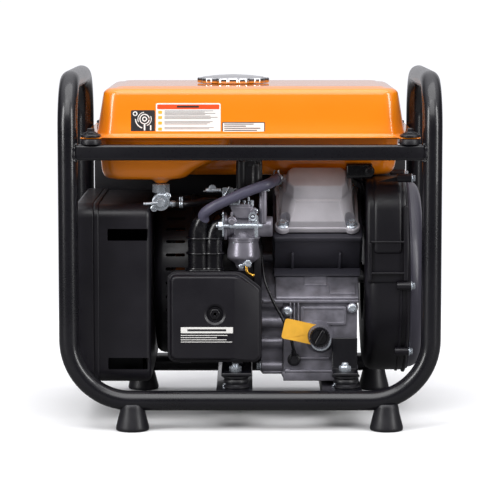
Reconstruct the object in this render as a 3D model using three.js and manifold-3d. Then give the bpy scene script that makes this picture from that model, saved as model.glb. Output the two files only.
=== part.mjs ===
// Open-frame portable inverter generator, in millimetres, +Z up.
// +X runs along the crankshaft, from the control panel to the recoil starter. -Y is the side with
// the air cleaner and the valve cover. The origin is on the ground under the frame's centre.
import * as THREE from "three";
import { ConvexGeometry } from "three/addons/geometries/ConvexGeometry.js";
import { mergeVertices } from "three/addons/utils/BufferGeometryUtils.js";
import Module from "manifold-3d";

const wasm = await Module();
wasm.setup();

// ---- Driving dimensions -----------------------------------------------------------------------
const GAP = 0.3; // clearance between pieces that touch

// Frame: width and depth over the tubes, height from the ground to the handles.
const FRAME = { width: 460, depth: 330, height: 432, tubeR: 12, railZ: 36, cornerR: 74, handleR: 58 };
const POST_X = FRAME.width / 2 - FRAME.tubeR; // upright centre lines
const LOOP_Y = FRAME.depth / 2 - FRAME.tubeR; // front and rear tube planes
const BAR = { z: [327, 345.4], halfDepth: 9 }; // crossbars between the uprights
const FOOT = { height: 34, topR: 14, bottomR: 20.5, x: { left: -142, right: 165 } };
const RAILS = { left: { x: [-41, 3], mount: -17 }, right: { x: [88, 136], mount: 117 } };
const RAIL = { top: 46, drop: 16, sheet: 3 }; // channels that carry the engine
const MOUNT = { y: 116, height: 15.7, r: 17, waist: 14.5 }; // rubber engine mounts

// Fuel tank: flange, top, sump and filler.
const TANK = { flangeZ: 353, sheet: 1.2, top: 413, bottom: 300, wall: 2 };
const FLANGE = { x: [-203, 204], y: 146, earX: [-190, 191], earHalf: 13, earY: 160 };
const FILLER = { at: [-21, 0], r: 24, wall: 2, top: 418 };
const CAP = { r: 45, z: [413.6, 423.5], dome: 427, lobes: 12, lobeDepth: 2.6 };
const PETCOCK = { x: -108.5, y: -104, nutZ: [283, 294.5], discZ: 273, discR: 11 };

// Engine: crankshaft axis along X, and the cylinder's tilt above the horizontal towards -Y.
const CRANK = { y: 20, z: 170, shaftR: 12, boreR: 18, webR: 36 };
const TILT = THREE.MathUtils.degToRad(50);
const CASE_X = [41, 132];
const SIDE_COVER_X = [14, CASE_X[0] - GAP];
const BARREL_W = 50; // crank axis to the cylinder's foot, along the cylinder
const HEAD_W = 112.5; // crank axis to the valve cover's joint face
const SHROUD_X = [30, 136.5];
const VALVE_COVER = { lip: 8, step: 28, top: 50, boltX: [40.3, 125.2], boltV: 31 };
const OIL = { x: 85, z: 108, neckY: -112, r: 12 };

// Alternator at the crankshaft's left end, blower and recoil starter at its right end.
const ALTERNATOR = { x: [-118, SIDE_COVER_X[0] - GAP], r: 100, wall: 3 };
const STATOR = { x: [-92, -28], boreR: 64, r: 88 };
const BLOWER = { x: [142, 192], r: 122, wall: 3, rimX: 195.5, throatR: 60 };
const FLYWHEEL = { x: [158, 176], r: 88, bladeX: 188, blades: 10 };
const RECOIL = { x: [BLOWER.rimX + GAP, 215], r: 118, pinR: 8, eyelet: [62, 214] };
const REEL = { x: [197, 210], r: 55, hubR: 34 };

// Air cleaner, intake and carburettor.
const AIR = { x: [-100.5, 14], z: [78, 189], front: -132, split: -118, back: -82, knob: [-42.5, 138] };
const INTAKE_Y = -98.5;
const ELBOW = { x: -55.5, r: 19.5, bendZ: 234, outR: 17, outX: -35 };
const CARB = { x: [-28, 10], boreZ: 242, bowlX: -8, bowlR: 20.5, bowlTop: 228 };
const CHOKE = { x: -22, z: 250, y: INTAKE_Y - 17 };
const THROTTLE = { x: [-17, 15], y: [-110, -78], z: [289, 324] };

// Control box, facing -X, with what is on its panel.
const BOX = { x: [-190, -120.5], y: 120, z: [52, 270], wall: 3 };
const PANEL = { x: [-213, BOX.x[0] - GAP], y: 122, z: [50, 272], face: -208 };
const SWITCH = { half: 10, z: [204, 234], y: { engine_switch: 68, eco_switch: 32 } };
const BREAKER = { at: [-18, 219], r: 7 };
const OUTLETS = { twin_outlet: [48, 130], locking_outlet: [-48, 130] };
const OUTLET_R = 27;

const MUFFLER = {
  x: [22, 138], y: [66, 128], z: [218, 290], outlet: [44, 240], guardX: [-204, 204], guardZ: [206, 322],
};

// Hose centre lines, as [x, y, z] points.
const FUEL_LINE = [
  [-89.6, -104, 270], [-81, -104, 270], [-68, -92, 270], [-50, -70, 272],
  [-30, -57, 267], [-17, -57, 259], [-16, -64, 256], [-16, -73.6, 256],
];
const BREATHER_LINE = [
  [-56.5, -108.3, 250.8], [-56, -113.5, 258.5], [-46, -119, 267], [-29, -121, 275.5], [-9, -121, 284.5],
  [8, -121, 291], [22, -116, 295.5], [29, -98, 297.5], [30, -78, 297.5], [34.5, -62, 297.3],
];

// ---- Materials --------------------------------------------------------------------------------
const finish = (color, roughness, metalness) =>
  new THREE.MeshStandardMaterial({ color, roughness, metalness });
const blackFrame = finish("#17171a", 0.35, 0.3);
const orangePaint = finish("#f0890c", 0.3, 0.1);
const blackPlastic = finish("#232327", 0.55, 0);
const rubber = finish("#1b1b1e", 0.8, 0);
const castAluminium = finish("#a39c98", 0.5, 0.8);
const steel = finish("#b8bcc2", 0.35, 1);
const chrome = finish("#d9d9dc", 0.15, 1);
const darkSteel = finish("#3a3a3e", 0.5, 0.8);
const copper = finish("#9a5b32", 0.4, 0.9);
const foam = finish("#5b5d52", 0.95, 0);
const hoseRubber = finish("#4a4a56", 0.6, 0);

// ---- Shapes -----------------------------------------------------------------------------------
const inset = ([low, high], d) => [low + d, high - d];
const both = (half) => [-half, half];

// A box between two limits on each axis.
function block(x, y, z) {
  const g = new THREE.BoxGeometry(x[1] - x[0], y[1] - y[0], z[1] - z[0]);
  return g.translate((x[0] + x[1]) / 2, (y[0] + y[1]) / 2, (z[0] + z[1]) / 2);
}

// A cylinder or cone along axis "x", "y" or "z" from a0 (radius r0) to a1 (radius r1). at holds
// its centre's two other coordinates, in X, Y, Z order.
function round(axis, [a0, a1], at, r0, r1 = r0, sides = 20) {
  const g = new THREE.CylinderGeometry(r1, r0, a1 - a0, sides);
  g.translate(0, (a0 + a1) / 2, 0);
  if (axis === "x") return g.rotateZ(-Math.PI / 2).translate(0, at[0], at[1]);
  if (axis === "y") return g.translate(at[0], 0, at[1]);
  return g.rotateX(Math.PI / 2).translate(at[0], at[1], 0);
}

// The corners of a rectangle with rounded corners, as [a, b] pairs.
function roundedRectangle(a, b, r, steps = 3) {
  const [a0, a1] = inset(a, r);
  const [b0, b1] = inset(b, r);
  const centres = [[a1, b1], [a0, b1], [a0, b0], [a1, b0]];
  return centres.flatMap(([ca, cb], quarter) =>
    Array.from({ length: steps + 1 }, (_, i) => {
      const angle = (quarter + i / steps) * (Math.PI / 2);
      return [ca + r * Math.cos(angle), cb + r * Math.sin(angle)];
    }),
  );
}

// The convex body over levels of rounded rectangles, each { z, x, y, r }.
const loft = (levels) =>
  new ConvexGeometry(
    levels.flatMap(({ z, x, y, r }) =>
      roundedRectangle(x, y, r).map(([a, b]) => new THREE.Vector3(a, b, z)),
    ),
  );

// A closed outline of [a, b] points, extruded along Z, X or Y.
function extrude(points, [from, to]) {
  const shape = new THREE.Shape(points.map(([a, b]) => new THREE.Vector2(a, b)));
  const g = new THREE.ExtrudeGeometry(shape, { depth: to - from, bevelEnabled: false });
  return g.translate(0, 0, from);
}
const alongX = (yz, x) => extrude(yz, x).rotateZ(Math.PI / 2).rotateY(Math.PI / 2);
const alongY = (xz, [from, to]) => extrude(xz, [-to, -from]).rotateX(Math.PI / 2);

// A solid of revolution about +Z from [radius, z] points, centred at (x, y).
function turned(profile, x, y, sides = 20) {
  const g = new THREE.LatheGeometry(profile.map(([r, z]) => new THREE.Vector2(r, z)), sides);
  return g.rotateX(Math.PI / 2).translate(x, y, 0);
}

// A round bar that follows a curve.
function sweep(path, radius, steps, sides) {
  const points = Array.from({ length: sides }, (_, i) => {
    const angle = (i / sides) * 2 * Math.PI;
    return new THREE.Vector2(radius * Math.cos(angle), radius * Math.sin(angle));
  });
  return new THREE.ExtrudeGeometry(new THREE.Shape(points), { steps, extrudePath: path });
}

const smoothLine = (points) =>
  new THREE.CatmullRomCurve3(points.map((p) => new THREE.Vector3(...p)));

// Straight runs between corners, each corner bent to one radius. Equal steps of the curve's
// parameter take one step on a straight run and BEND_STEPS on a bend.
const BEND_STEPS = 6;
class BentLine extends THREE.Curve {
  constructor(corners, radius) {
    super();
    const at = corners.map((p) => new THREE.Vector3(...p));
    const towards = (from, to) =>
      from.clone().addScaledVector(to.clone().sub(from).normalize(), radius);
    this.pieces = [];
    let from = at[0];
    for (let i = 1; i < at.length - 1; i++) {
      const start = towards(at[i], at[i - 1]);
      const end = towards(at[i], at[i + 1]);
      this.pieces.push(new THREE.LineCurve3(from, start));
      for (let step = 0; step < BEND_STEPS; step++)
        this.pieces.push({
          getPoint: (t) => this.bend(start, at[i], end, (step + t) / BEND_STEPS),
        });
      from = end;
    }
    this.pieces.push(new THREE.LineCurve3(from, at.at(-1)));
  }

  // A point on the quarter circle from start to end whose tangents meet at the corner.
  bend(start, corner, end, t) {
    const centre = start.clone().add(end).sub(corner);
    const angle = (t * Math.PI) / 2;
    return centre
      .clone()
      .addScaledVector(start.clone().sub(centre), Math.cos(angle))
      .addScaledVector(end.clone().sub(centre), Math.sin(angle));
  }

  getPoint(t) {
    const place = Math.min(Math.max(t, 0), 1) * this.pieces.length;
    const i = Math.min(Math.floor(place), this.pieces.length - 1);
    return this.pieces[i].getPoint(place - i);
  }

  getPointAt(u) {
    return this.getPoint(u);
  }

  getTangentAt(u) {
    return this.getTangent(u);
  }
}

function bentTube(corners, radius) {
  const path = new BentLine(corners, radius);
  return sweep(path, FRAME.tubeR, path.pieces.length, 12);
}

// ---- Joining and cutting ----------------------------------------------------------------------
function toSolid(geometry) {
  const bare = geometry.index ? geometry.toNonIndexed() : geometry.clone();
  bare.deleteAttribute("normal");
  bare.deleteAttribute("uv");
  const merged = mergeVertices(bare, 1e-3);
  return new wasm.Manifold(
    new wasm.Mesh({
      numProp: 3,
      vertProperties: merged.attributes.position.array,
      triVerts: new Uint32Array(merged.index.array),
    }),
  );
}

function toGeometry(solid) {
  const mesh = solid.getMesh();
  const g = new THREE.BufferGeometry();
  g.setAttribute("position", new THREE.BufferAttribute(mesh.vertProperties, 3));
  g.setIndex(new THREE.BufferAttribute(mesh.triVerts, 1));
  g.computeVertexNormals();
  return g;
}

const join = (...pieces) => toGeometry(pieces.map(toSolid).reduce((a, b) => a.add(b)));
const cut = (body, ...tools) =>
  toGeometry(tools.map(toSolid).reduce((a, b) => a.subtract(b), toSolid(body)));

// ---- The assembly -----------------------------------------------------------------------------
const generator = new THREE.Group();

function add(name, geometry, material, group = generator) {
  const mesh = new THREE.Mesh(geometry, material);
  mesh.name = name;
  group.add(mesh);
}

// ---- Frame: two bent loops, two handles, two crossbars, two mount rails and four feet -----------
const SADDLE_R = FRAME.tubeR + 0.5; // a hollow that a frame tube lies in

function addFrame() {
  const { railZ, cornerR, handleR } = FRAME;
  const handleZ = FRAME.height - FRAME.tubeR;
  const weldZ = BAR.z[1];
  for (const [side, y] of [["front", -LOOP_Y], ["rear", LOOP_Y]]) {
    const corners = [[-POST_X, y, weldZ], [-POST_X, y, railZ], [POST_X, y, railZ], [POST_X, y, weldZ]];
    add(`${side}_frame_tube`, bentTube(corners, cornerR), blackFrame);
    const beam = block(both(POST_X), [y - BAR.halfDepth, y + BAR.halfDepth], BAR.z);
    const lugAt = [MUFFLER.y[1] + 5, y - BAR.halfDepth + 1]; // two lugs on the rear crossbar hold the guard
    const lugs = y > 0 ? [-150, 150].map((at) => block([at - 9, at + 9], lugAt, [BAR.z[0] + 1, BAR.z[0] + 13])) : [];
    const bar = lugs.length ? join(beam, ...lugs) : beam;
    const posts = both(POST_X).map((x) => round("z", [300, 360], [x, y], SADDLE_R));
    add(`${side}_crossbar`, cut(bar, ...posts), blackFrame);
  }
  for (const [side, x] of [["left", -POST_X], ["right", POST_X]]) {
    const z = weldZ + GAP;
    const corners = [[x, -LOOP_Y, z], [x, -LOOP_Y, handleZ], [x, LOOP_Y, handleZ], [x, LOOP_Y, z]];
    add(`${side}_handle_tube`, bentTube(corners, handleR), blackFrame);
  }
}

// Inverted channels between the bottom rails.
function addMountRails() {
  const tubes = both(LOOP_Y).map((y) => round("x", [-120, 170], [y, FRAME.railZ], SADDLE_R));
  const { top, drop, sheet } = RAIL;
  for (const [side, { x }] of Object.entries(RAILS)) {
    const [x0, x1] = x;
    const [in0, in1] = inset(x, sheet);
    const section = [
      [x0, top - drop], [in0, top - drop], [in0, top - sheet], [in1, top - sheet],
      [in1, top - drop], [x1, top - drop], [x1, top], [x0, top],
    ];
    add(`${side}_mount_rail`, cut(alongY(section, both(LOOP_Y)), ...tubes), blackFrame);
  }
}

function addFeet() {
  for (const [row, y] of [["front", -LOOP_Y], ["rear", LOOP_Y]]) {
    const saddle = round("x", [-200, 200], [y, FRAME.railZ], SADDLE_R);
    for (const [side, x] of Object.entries(FOOT.x)) {
      const cone = round("z", [0, FOOT.height], [x, y], FOOT.bottomR, FOOT.topR, 18);
      add(`foot_${row}_${side}`, cut(cone, saddle), rubber);
    }
  }
}

// Waisted rubber mounts on the channels, and the plates that bolt the engine to them.
function addEngineMounts() {
  const z0 = RAIL.top + GAP;
  const z1 = z0 + MOUNT.height;
  const profile = [
    [0, z0], [MOUNT.r - 2, z0], [MOUNT.r, z0 + 3], [MOUNT.waist, (z0 + z1) / 2],
    [MOUNT.r, z1 - 3], [MOUNT.r - 2, z1], [0, z1],
  ];
  for (const [row, y] of [["front", -MOUNT.y], ["rear", MOUNT.y]])
    for (const [side, { mount }] of Object.entries(RAILS))
      add(`rubber_mount_${row}_${side}`, turned(profile, mount, y, 16), rubber);

  const plate = [z1 + GAP, z1 + 4];
  add("left_engine_bracket", block([-35, 2], both(MOUNT.y + 18), plate), blackFrame);
  const across = [RAILS.right.mount - 16, RAILS.right.mount + 15];
  const angle = (faceY, endY) => {
    const out = Math.sign(endY);
    const span = (a, b) => [Math.min(a, b), Math.max(a, b)];
    const foot = block(across, span(faceY, endY), plate);
    return join(foot, block(across, span(faceY, faceY + 4 * out), [plate[0], 104]));
  };
  add("right_engine_bracket_front", angle(-92 - GAP, -MOUNT.y - 18), blackFrame);
  add("right_engine_bracket_rear", angle(96 + GAP, MOUNT.y + 18), blackFrame);
}

// ---- Fuel tank: two pressed halves joined at a flange -------------------------------------------
// The same levels with the wall's thickness taken off, and new heights for the first and last.
const hollowed = (levels, wall, firstZ, lastZ) =>
  levels.map(({ z, x, y, r }, i) => ({
    z: i === 0 ? firstZ : i === levels.length - 1 ? lastZ : z,
    x: inset(x, wall),
    y: inset(y, wall),
    r: r - wall,
  }));

function tankUpper() {
  const { flangeZ, sheet, top, wall } = TANK;
  const outer = [
    { z: flangeZ + sheet, x: [-186, 188], y: both(128), r: 24 },
    { z: top - 9, x: [-178, 180], y: both(120), r: 24 },
    { z: top - 2.6, x: [-174, 176], y: both(116), r: 21 },
    { z: top, x: [-167, 169], y: both(109), r: 14 },
  ];
  const flange = extrude(roundedRectangle(FLANGE.x, both(FLANGE.y), 16), [flangeZ, flangeZ + sheet]);
  const ears = FLANGE.earX.map((x) =>
    block([x - FLANGE.earHalf, x + FLANGE.earHalf], both(FLANGE.earY), [flangeZ, flangeZ + sheet]),
  );
  const neck = round("z", [top - 5, FILLER.top], FILLER.at, FILLER.r + FILLER.wall);
  const hole = round("z", [top - 9, FILLER.top + 5], FILLER.at, FILLER.r);
  const inner = hollowed(outer, wall, flangeZ - 1, top - wall);
  return cut(join(loft(outer), flange, ...ears, neck), loft(inner), hole);
}

// The lower half: a deep sump over the petcock, and a floor that stays clear of the cylinder head.
function tankLower() {
  const { bottom, wall, sheet } = TANK;
  const rimZ = TANK.flangeZ - GAP;
  const floor = [
    { z: bottom, x: [-170, 172], y: [-40, 116], r: 16 },
    { z: bottom + 8, x: [-178, 180], y: [-50, 124], r: 20 },
    { z: rimZ, x: [-184, 186], y: [-58, 127], r: 20 },
  ];
  const sump = [
    { z: bottom, x: [-172, -80], y: [-112, 40], r: 16 },
    { z: bottom + 8, x: [-180, -72], y: [-120, 40], r: 18 },
    { z: rimZ - 22, x: [-182, -30], y: [-123, 40], r: 18 },
    { z: rimZ, x: [-184, -24], y: [-126, 40], r: 18 },
  ];
  // The rim's plate also closes the front, over the cylinder head.
  const rim = extrude(roundedRectangle([-200, 201], both(140), 14), [rimZ - sheet, rimZ]);
  const boss = round("z", [PETCOCK.nutZ[1] + GAP, bottom + 3], [PETCOCK.x, PETCOCK.y], 7, 10, 16);
  const body = join(loft(floor), loft(sump), rim, boss);
  const inside = [floor, sump].map((levels) => loft(hollowed(levels, wall, bottom + wall, rimZ + 1)));
  return cut(body, ...inside);
}

// The cap drops over the filler neck: a lobed rim under a shallow dome.
function fuelCap() {
  const steps = CAP.lobes * 4;
  const rim = Array.from({ length: steps }, (_, i) => {
    const angle = (i / steps) * 2 * Math.PI;
    const r = CAP.r - CAP.lobeDepth * (0.5 - 0.5 * Math.cos(CAP.lobes * angle));
    return [FILLER.at[0] + r * Math.cos(angle), FILLER.at[1] + r * Math.sin(angle)];
  });
  const dome = round("z", [CAP.z[1] - 0.5, CAP.dome], FILLER.at, CAP.r - 5, CAP.r - 16);
  const throat = round("z", [CAP.z[0] - 1, FILLER.top + 1], FILLER.at, FILLER.r + FILLER.wall + 0.8);
  return cut(join(extrude(rim, CAP.z), dome), throat);
}

// Petcock: a hexagon nut, a disc-shaped body that faces forward and an outlet to the right.
function petcock() {
  const { x, y, nutZ, discZ, discR } = PETCOCK;
  return join(
    round("z", nutZ, [x, y], 10, 10, 6),
    round("z", [discZ, nutZ[0] + 1], [x, y], 5, 5, 12),
    round("y", [y - 11, y + 7], [x, discZ], discR, discR, 18),
    round("x", [x, x + 18.5], [y, discZ - 3], 3.5, 3.5, 12),
  );
}

function petcockLever() {
  const { x, y, discZ } = PETCOCK;
  const hub = round("y", [y - 21, y - 11 - GAP], [x, discZ], 6, 6, 16);
  return join(hub, block([x - 21, x], [y - 21, y - 17.3], both(2).map((d) => discZ + d)));
}

function addTank() {
  add("tank_upper_shell", tankUpper(), orangePaint);
  add("tank_lower_shell", tankLower(), orangePaint);
  add("fuel_cap", fuelCap(), chrome);
  add("fuel_valve_body", petcock(), steel);
  add("fuel_valve_lever", petcockLever(), steel);
  add("fuel_hose", sweep(smoothLine(FUEL_LINE), 4, 16, 8), hoseRubber);
}

// ---- Engine block -----------------------------------------------------------------------------
const CRANK_AT = [CRANK.y, CRANK.z];
const crankBore = (x) => round("x", x, CRANK_AT, CRANK.boreR);

// The [y, z] place that lies v across the cylinder (rearwards) and w along it from the crank axis.
const onCylinder = (v, w) => [
  CRANK.y + v * Math.sin(TILT) - w * Math.cos(TILT),
  CRANK.z + v * Math.cos(TILT) + w * Math.sin(TILT),
];

function crankcase() {
  const outline = [
    [-85, 50], [96, 50], [96, 190], [60, 214], [38, onCylinder(40, BARREL_W)[1]],
    onCylinder(40, BARREL_W), onCylinder(-40, BARREL_W), [-85, 150],
  ];
  const sump = [
    [-72, 62], [84, 62], [84, 184], [44, 200], onCylinder(26, 38), onCylinder(-32, 38), [-72, 146],
  ];
  const hollow = inset(CASE_X, 8);
  const neck = round("y", [OIL.neckY, -81], [OIL.x, OIL.z], 11, 15, 18);
  const body = join(alongX(outline, CASE_X), neck, block(CASE_X, [-92, -80], [50, 62]));
  const inside = join(alongX(sump, hollow), round("x", hollow, CRANK_AT, CRANK.webR + 4));
  return cut(body, inside, crankBore([CASE_X[0] - 1, CASE_X[1] + 1]));
}

function sideCover() {
  const outline = [
    [-78, 58], [90, 58], [90, 184], [56, 208], onCylinder(34, BARREL_W - 6),
    onCylinder(-38, BARREL_W - 8), [-78, 146],
  ];
  return cut(alongX(outline, SIDE_COVER_X), crankBore([SIDE_COVER_X[0] - 1, CASE_X[0]]));
}

// The cylinder's own frame: +Z up the cylinder from the crank axis, -Y on its lower front side.
function addCylinder(engine) {
  const cylinder = new THREE.Group();
  cylinder.position.set(0, CRANK.y, CRANK.z);
  cylinder.rotation.x = Math.PI / 2 - TILT;
  engine.add(cylinder);

  const foot = BARREL_W + GAP;
  const barrel = block(inset(SHROUD_X, 5), both(36), [foot, HEAD_W - GAP]);
  const bore = round("z", [foot - 1, HEAD_W - 12], [83, 0], 31);
  add("cylinder_and_head", cut(barrel, bore), castAluminium, cylinder);

  const duct = block(SHROUD_X, both(42), [foot, HEAD_W - 1]);
  const room = block(inset(SHROUD_X, 2.5), both(39.5), [0, HEAD_W + 9]);
  add("cylinder_shroud", cut(duct, room), darkSteel, cylinder);

  add("valve_cover", valveCover().translate(0, 0, HEAD_W), castAluminium, cylinder);
}

// A lip with four bolt bosses under a two-step dome, and the breather's spigot on its left.
function valveCover() {
  const { lip, step, top, boltX, boltV } = VALVE_COVER;
  const bosses = boltX.flatMap((x) => both(boltV).map((v) => round("z", [0, lip], [x, v], 9.5, 9.5, 16)));
  const lower = [
    { z: lip - 1, x: [37, 129.5], y: [-35, 35], r: 8 },
    { z: step, x: [42, 125], y: [-30, 33], r: 8 },
  ];
  const upper = [
    { z: step - 1, x: [46, 121], y: [-23, 32], r: 7 },
    { z: top, x: [51, 116], y: [-9, 25], r: 7 },
  ];
  const body = join(
    extrude(roundedRectangle([33, 133.5], [-37, 38], 10), [0, lip]),
    ...bosses,
    loft(lower),
    loft(upper),
    round("x", [40.7, 56], [21, 36], 5.5, 5.5, 12),
  );
  return cut(body, loft(hollowed(lower, 4, -2, step - 4)), loft(hollowed(upper, 4, step - 6, top - 4)));
}

function addBlock(engine) {
  add("crankcase", crankcase(), castAluminium, engine);
  add("crankcase_side_cover", sideCover(), castAluminium, engine);
  addCylinder(engine);
  const disc = round("y", [OIL.neckY - 9, OIL.neckY - GAP], [OIL.x, OIL.z], OIL.r - 1, OIL.r, 20);
  const grip = block([OIL.x - 2.5, OIL.x + 2.5], [OIL.neckY - 13, OIL.neckY - 8], [OIL.z - 10, OIL.z + 10]);
  add("oil_filler_cap", join(disc, grip), blackPlastic, engine);
}

// ---- Rotating line and its housings -------------------------------------------------------------
const shaftHole = (x) => round("x", x, CRANK_AT, CRANK.shaftR + GAP);

function flywheelFan() {
  const { x, r, bladeX, blades } = FLYWHEEL;
  const disc = round("x", x, CRANK_AT, r, r, 28);
  const vanes = Array.from({ length: blades }, (_, i) =>
    block([x[1] - 1, bladeX], both(2), [52, r + 8])
      .rotateX((i / blades) * 2 * Math.PI)
      .translate(0, ...CRANK_AT),
  );
  return cut(join(disc, ...vanes), shaftHole([x[0] - 2, bladeX + 2]));
}

function addRotatingLine(engine) {
  const shaft = round("x", [ALTERNATOR.x[0] + 12, FLYWHEEL.x[1] + 6], CRANK_AT, CRANK.shaftR);
  const webs = [[58, 72], [96, 110]].map((x) => round("x", x, CRANK_AT, CRANK.webR));
  add("crankshaft", join(shaft, ...webs), steel, engine);
  add("flywheel_fan", flywheelFan(), castAluminium, engine);

  const rotor = round("x", inset(STATOR.x, -2), CRANK_AT, STATOR.boreR - 1.5);
  add("alternator_rotor", cut(rotor, shaftHole([-120, 0])), darkSteel, engine);
  const ring = round("x", STATOR.x, CRANK_AT, STATOR.r);
  add("alternator_stator", cut(ring, round("x", [-120, 0], CRANK_AT, STATOR.boreR)), copper, engine);
}

function alternatorCover() {
  const { x, r, wall } = ALTERNATOR;
  const drum = round("x", [x[0] + 8, x[1]], CRANK_AT, r, r, 28);
  const end = round("x", [x[0], x[0] + 8], CRANK_AT, r - 8, r, 28);
  const room = round("x", [x[0] + 5, x[1] + 2], CRANK_AT, r - wall - 5, r - wall - 5, 28);
  return cut(join(drum, end), room);
}

// A drum whose front and top run on as the duct that feeds the cylinder's shroud.
function blowerHousing() {
  const { x, r, wall, rimX, throatR } = BLOWER;
  const duct = [[-104, 170], [-104, 262], [-88, 288], [-64, 297], [10, 297], [44, 288], [20, 170]];
  const body = join(
    round("x", x, CRANK_AT, r - 3, r, 28),
    alongX(duct, [x[0] + 1, x[1]]),
    round("x", [x[1], rimX], CRANK_AT, r + 3, r + 3, 28),
  );
  const cavity = round("x", [x[0] + wall, rimX + 2], CRANK_AT, r - 10, r - 8, 28);
  return cut(body, cavity, round("x", [x[0] - 2, x[0] + 6], CRANK_AT, throatR));
}

function recoilCover() {
  const { x, r, pinR, eyelet } = RECOIL;
  const [x0, x1] = x;
  const shell = join(
    round("x", [x0, x1 - 3], CRANK_AT, r, r - 5, 28),
    round("x", [x1 - 3, x1], CRANK_AT, r - 5, r - 10, 28),
  );
  const room = round("x", [x0 - 1, x1 - 3], CRANK_AT, r - 4, r - 9, 28);
  const pin = round("x", [REEL.x[0], x1 - 2], CRANK_AT, pinR, pinR, 20);
  return join(cut(shell, room, round("x", [x1 - 6, x1 + 2], eyelet, 4, 4, 16)), pin);
}

// The rope's reel turns on the cover's pin.
function starterReel() {
  const { x, r, hubR } = REEL;
  const boreR = RECOIL.pinR + 0.6;
  const profile = [
    [boreR, x[0]], [r, x[0]], [r, x[0] + 2], [hubR, x[0] + 4], [hubR, x[1] - 4], [r, x[1] - 2],
    [r, x[1]], [boreR, x[1]], [boreR, x[0]],
  ];
  return turned(profile, 0, 0, 20).rotateY(Math.PI / 2).translate(0, ...CRANK_AT);
}

// A T-shaped grip with the first of its rope in the cover's eyelet.
function recoilHandle() {
  const { x, eyelet } = RECOIL;
  const [y, z] = eyelet;
  const bar = roundedRectangle([y - 34, y + 34], [z - 7, z + 7], 6);
  return join(
    alongX(bar, [x[1] + 3, x[1] + 14]),
    round("x", [x[1] + 0.5, x[1] + 4], eyelet, 5.5, 8, 16),
    round("x", [x[1] - 7, x[1] + 1], eyelet, 2.2, 2.2, 10),
  );
}

function addHousings(engine) {
  add("alternator_cover", alternatorCover(), blackPlastic, engine);
  add("blower_housing", blowerHousing(), blackPlastic, engine);
  add("recoil_cover", recoilCover(), blackPlastic, engine);
  add("starter_reel", starterReel(), blackPlastic, engine);
  add("recoil_handle", recoilHandle(), blackPlastic, engine);
}

// ---- Air cleaner, intake elbow and carburettor --------------------------------------------------
// An [x, z] outline with rounded corners and one long chamfer at the upper right.
function airOutline(shrink) {
  const [x0, x1] = inset(AIR.x, shrink);
  const [z0, z1] = inset(AIR.z, shrink);
  const corners = roundedRectangle([x0, x1], [z0, z1], 10 - Math.min(shrink, 6));
  return [[x1, z1 - 20], [x1 - 4, z1 - 15], [x1 - 22, z1 - 2], [x1 - 28, z1], ...corners.slice(4)];
}

function airCleanerCover() {
  const { front, split, knob } = AIR;
  const rings = [[front, 6.5], [front + 3, 3], [split - 3, 2]];
  const bowl = new ConvexGeometry(
    rings.flatMap(([y, shrink]) => airOutline(shrink).map(([x, z]) => new THREE.Vector3(x, y, z))),
  );
  const lip = alongY(airOutline(0), [split - 3.5, split - GAP]);
  const room = alongY(airOutline(8), [front + 5.5, split + 1]);
  const dish = round("y", [front - 1, front + 3.5], knob, 12, 9);
  return cut(join(bowl, lip), room, dish, round("y", [front - 1, split], knob, 4, 4, 12));
}

function airCleanerCase() {
  const { split, back, z } = AIR;
  const shell = alongY(airOutline(2), [split, back]);
  const room = alongY(airOutline(5), [split - 1, back - 3]);
  return cut(shell, room, round("z", [z[1] - 8, z[1]], [ELBOW.x, INTAKE_Y], 12));
}

function intakeElbow() {
  const { x, r, bendZ, outR, outX } = ELBOW;
  return join(
    round("z", [AIR.z[1] - 2 + GAP, bendZ], [x, INTAKE_Y], r, r - 0.5),
    new THREE.SphereGeometry(outR + 1.2, 20, 12).translate(x, INTAKE_Y, bendZ),
    round("x", [x, outX], [INTAKE_Y, bendZ + 2], outR),
  );
}

// Body, neck and bore between two flanges, with the bracket that holds the throttle motor.
function carburettor() {
  const { x, boreZ, bowlX, bowlTop } = CARB;
  const y = INTAKE_Y;
  return join(
    round("x", [ELBOW.outX + 3, SHROUD_X[0] - 2], [y, boreZ], 13),
    block(x, [y - 17, y + 14], [boreZ - 12, boreZ + 18]),
    block([ELBOW.outX + GAP, ELBOW.outX + 6], [y - 20, y + 20], [boreZ - 20, boreZ + 20]),
    round("z", [bowlTop, boreZ], [bowlX, y], 15, 13),
    block([9, 20], [y - 13, y - 9], [boreZ - 8, THROTTLE.z[0] - GAP]),
    block([0, 20], [y - 13, y + 14], [THROTTLE.z[0] - 3, THROTTLE.z[0] - GAP]),
    round("y", [y, -74], [-16, 256], 3.5, 3.5, 12),
  );
}

function floatBowl() {
  const top = CARB.bowlTop - GAP;
  const r = CARB.bowlR;
  const profile = [
    [0, top - 40], [7, top - 40], [9, top - 35], [13, top - 32], [r - 3.5, top - 26], [r, top - 22],
    [r, top], [0, top],
  ];
  return turned(profile, CARB.bowlX, INTAKE_Y);
}

function chokeLever() {
  const { x, y, z } = CHOKE;
  const hub = round("y", [y - 7.5, y - GAP], [x, z], 4, 4, 12);
  return join(hub, block([x - 2.5, x + 2.5], [y - 7.5, y - 4], [z, z + 14]));
}

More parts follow.
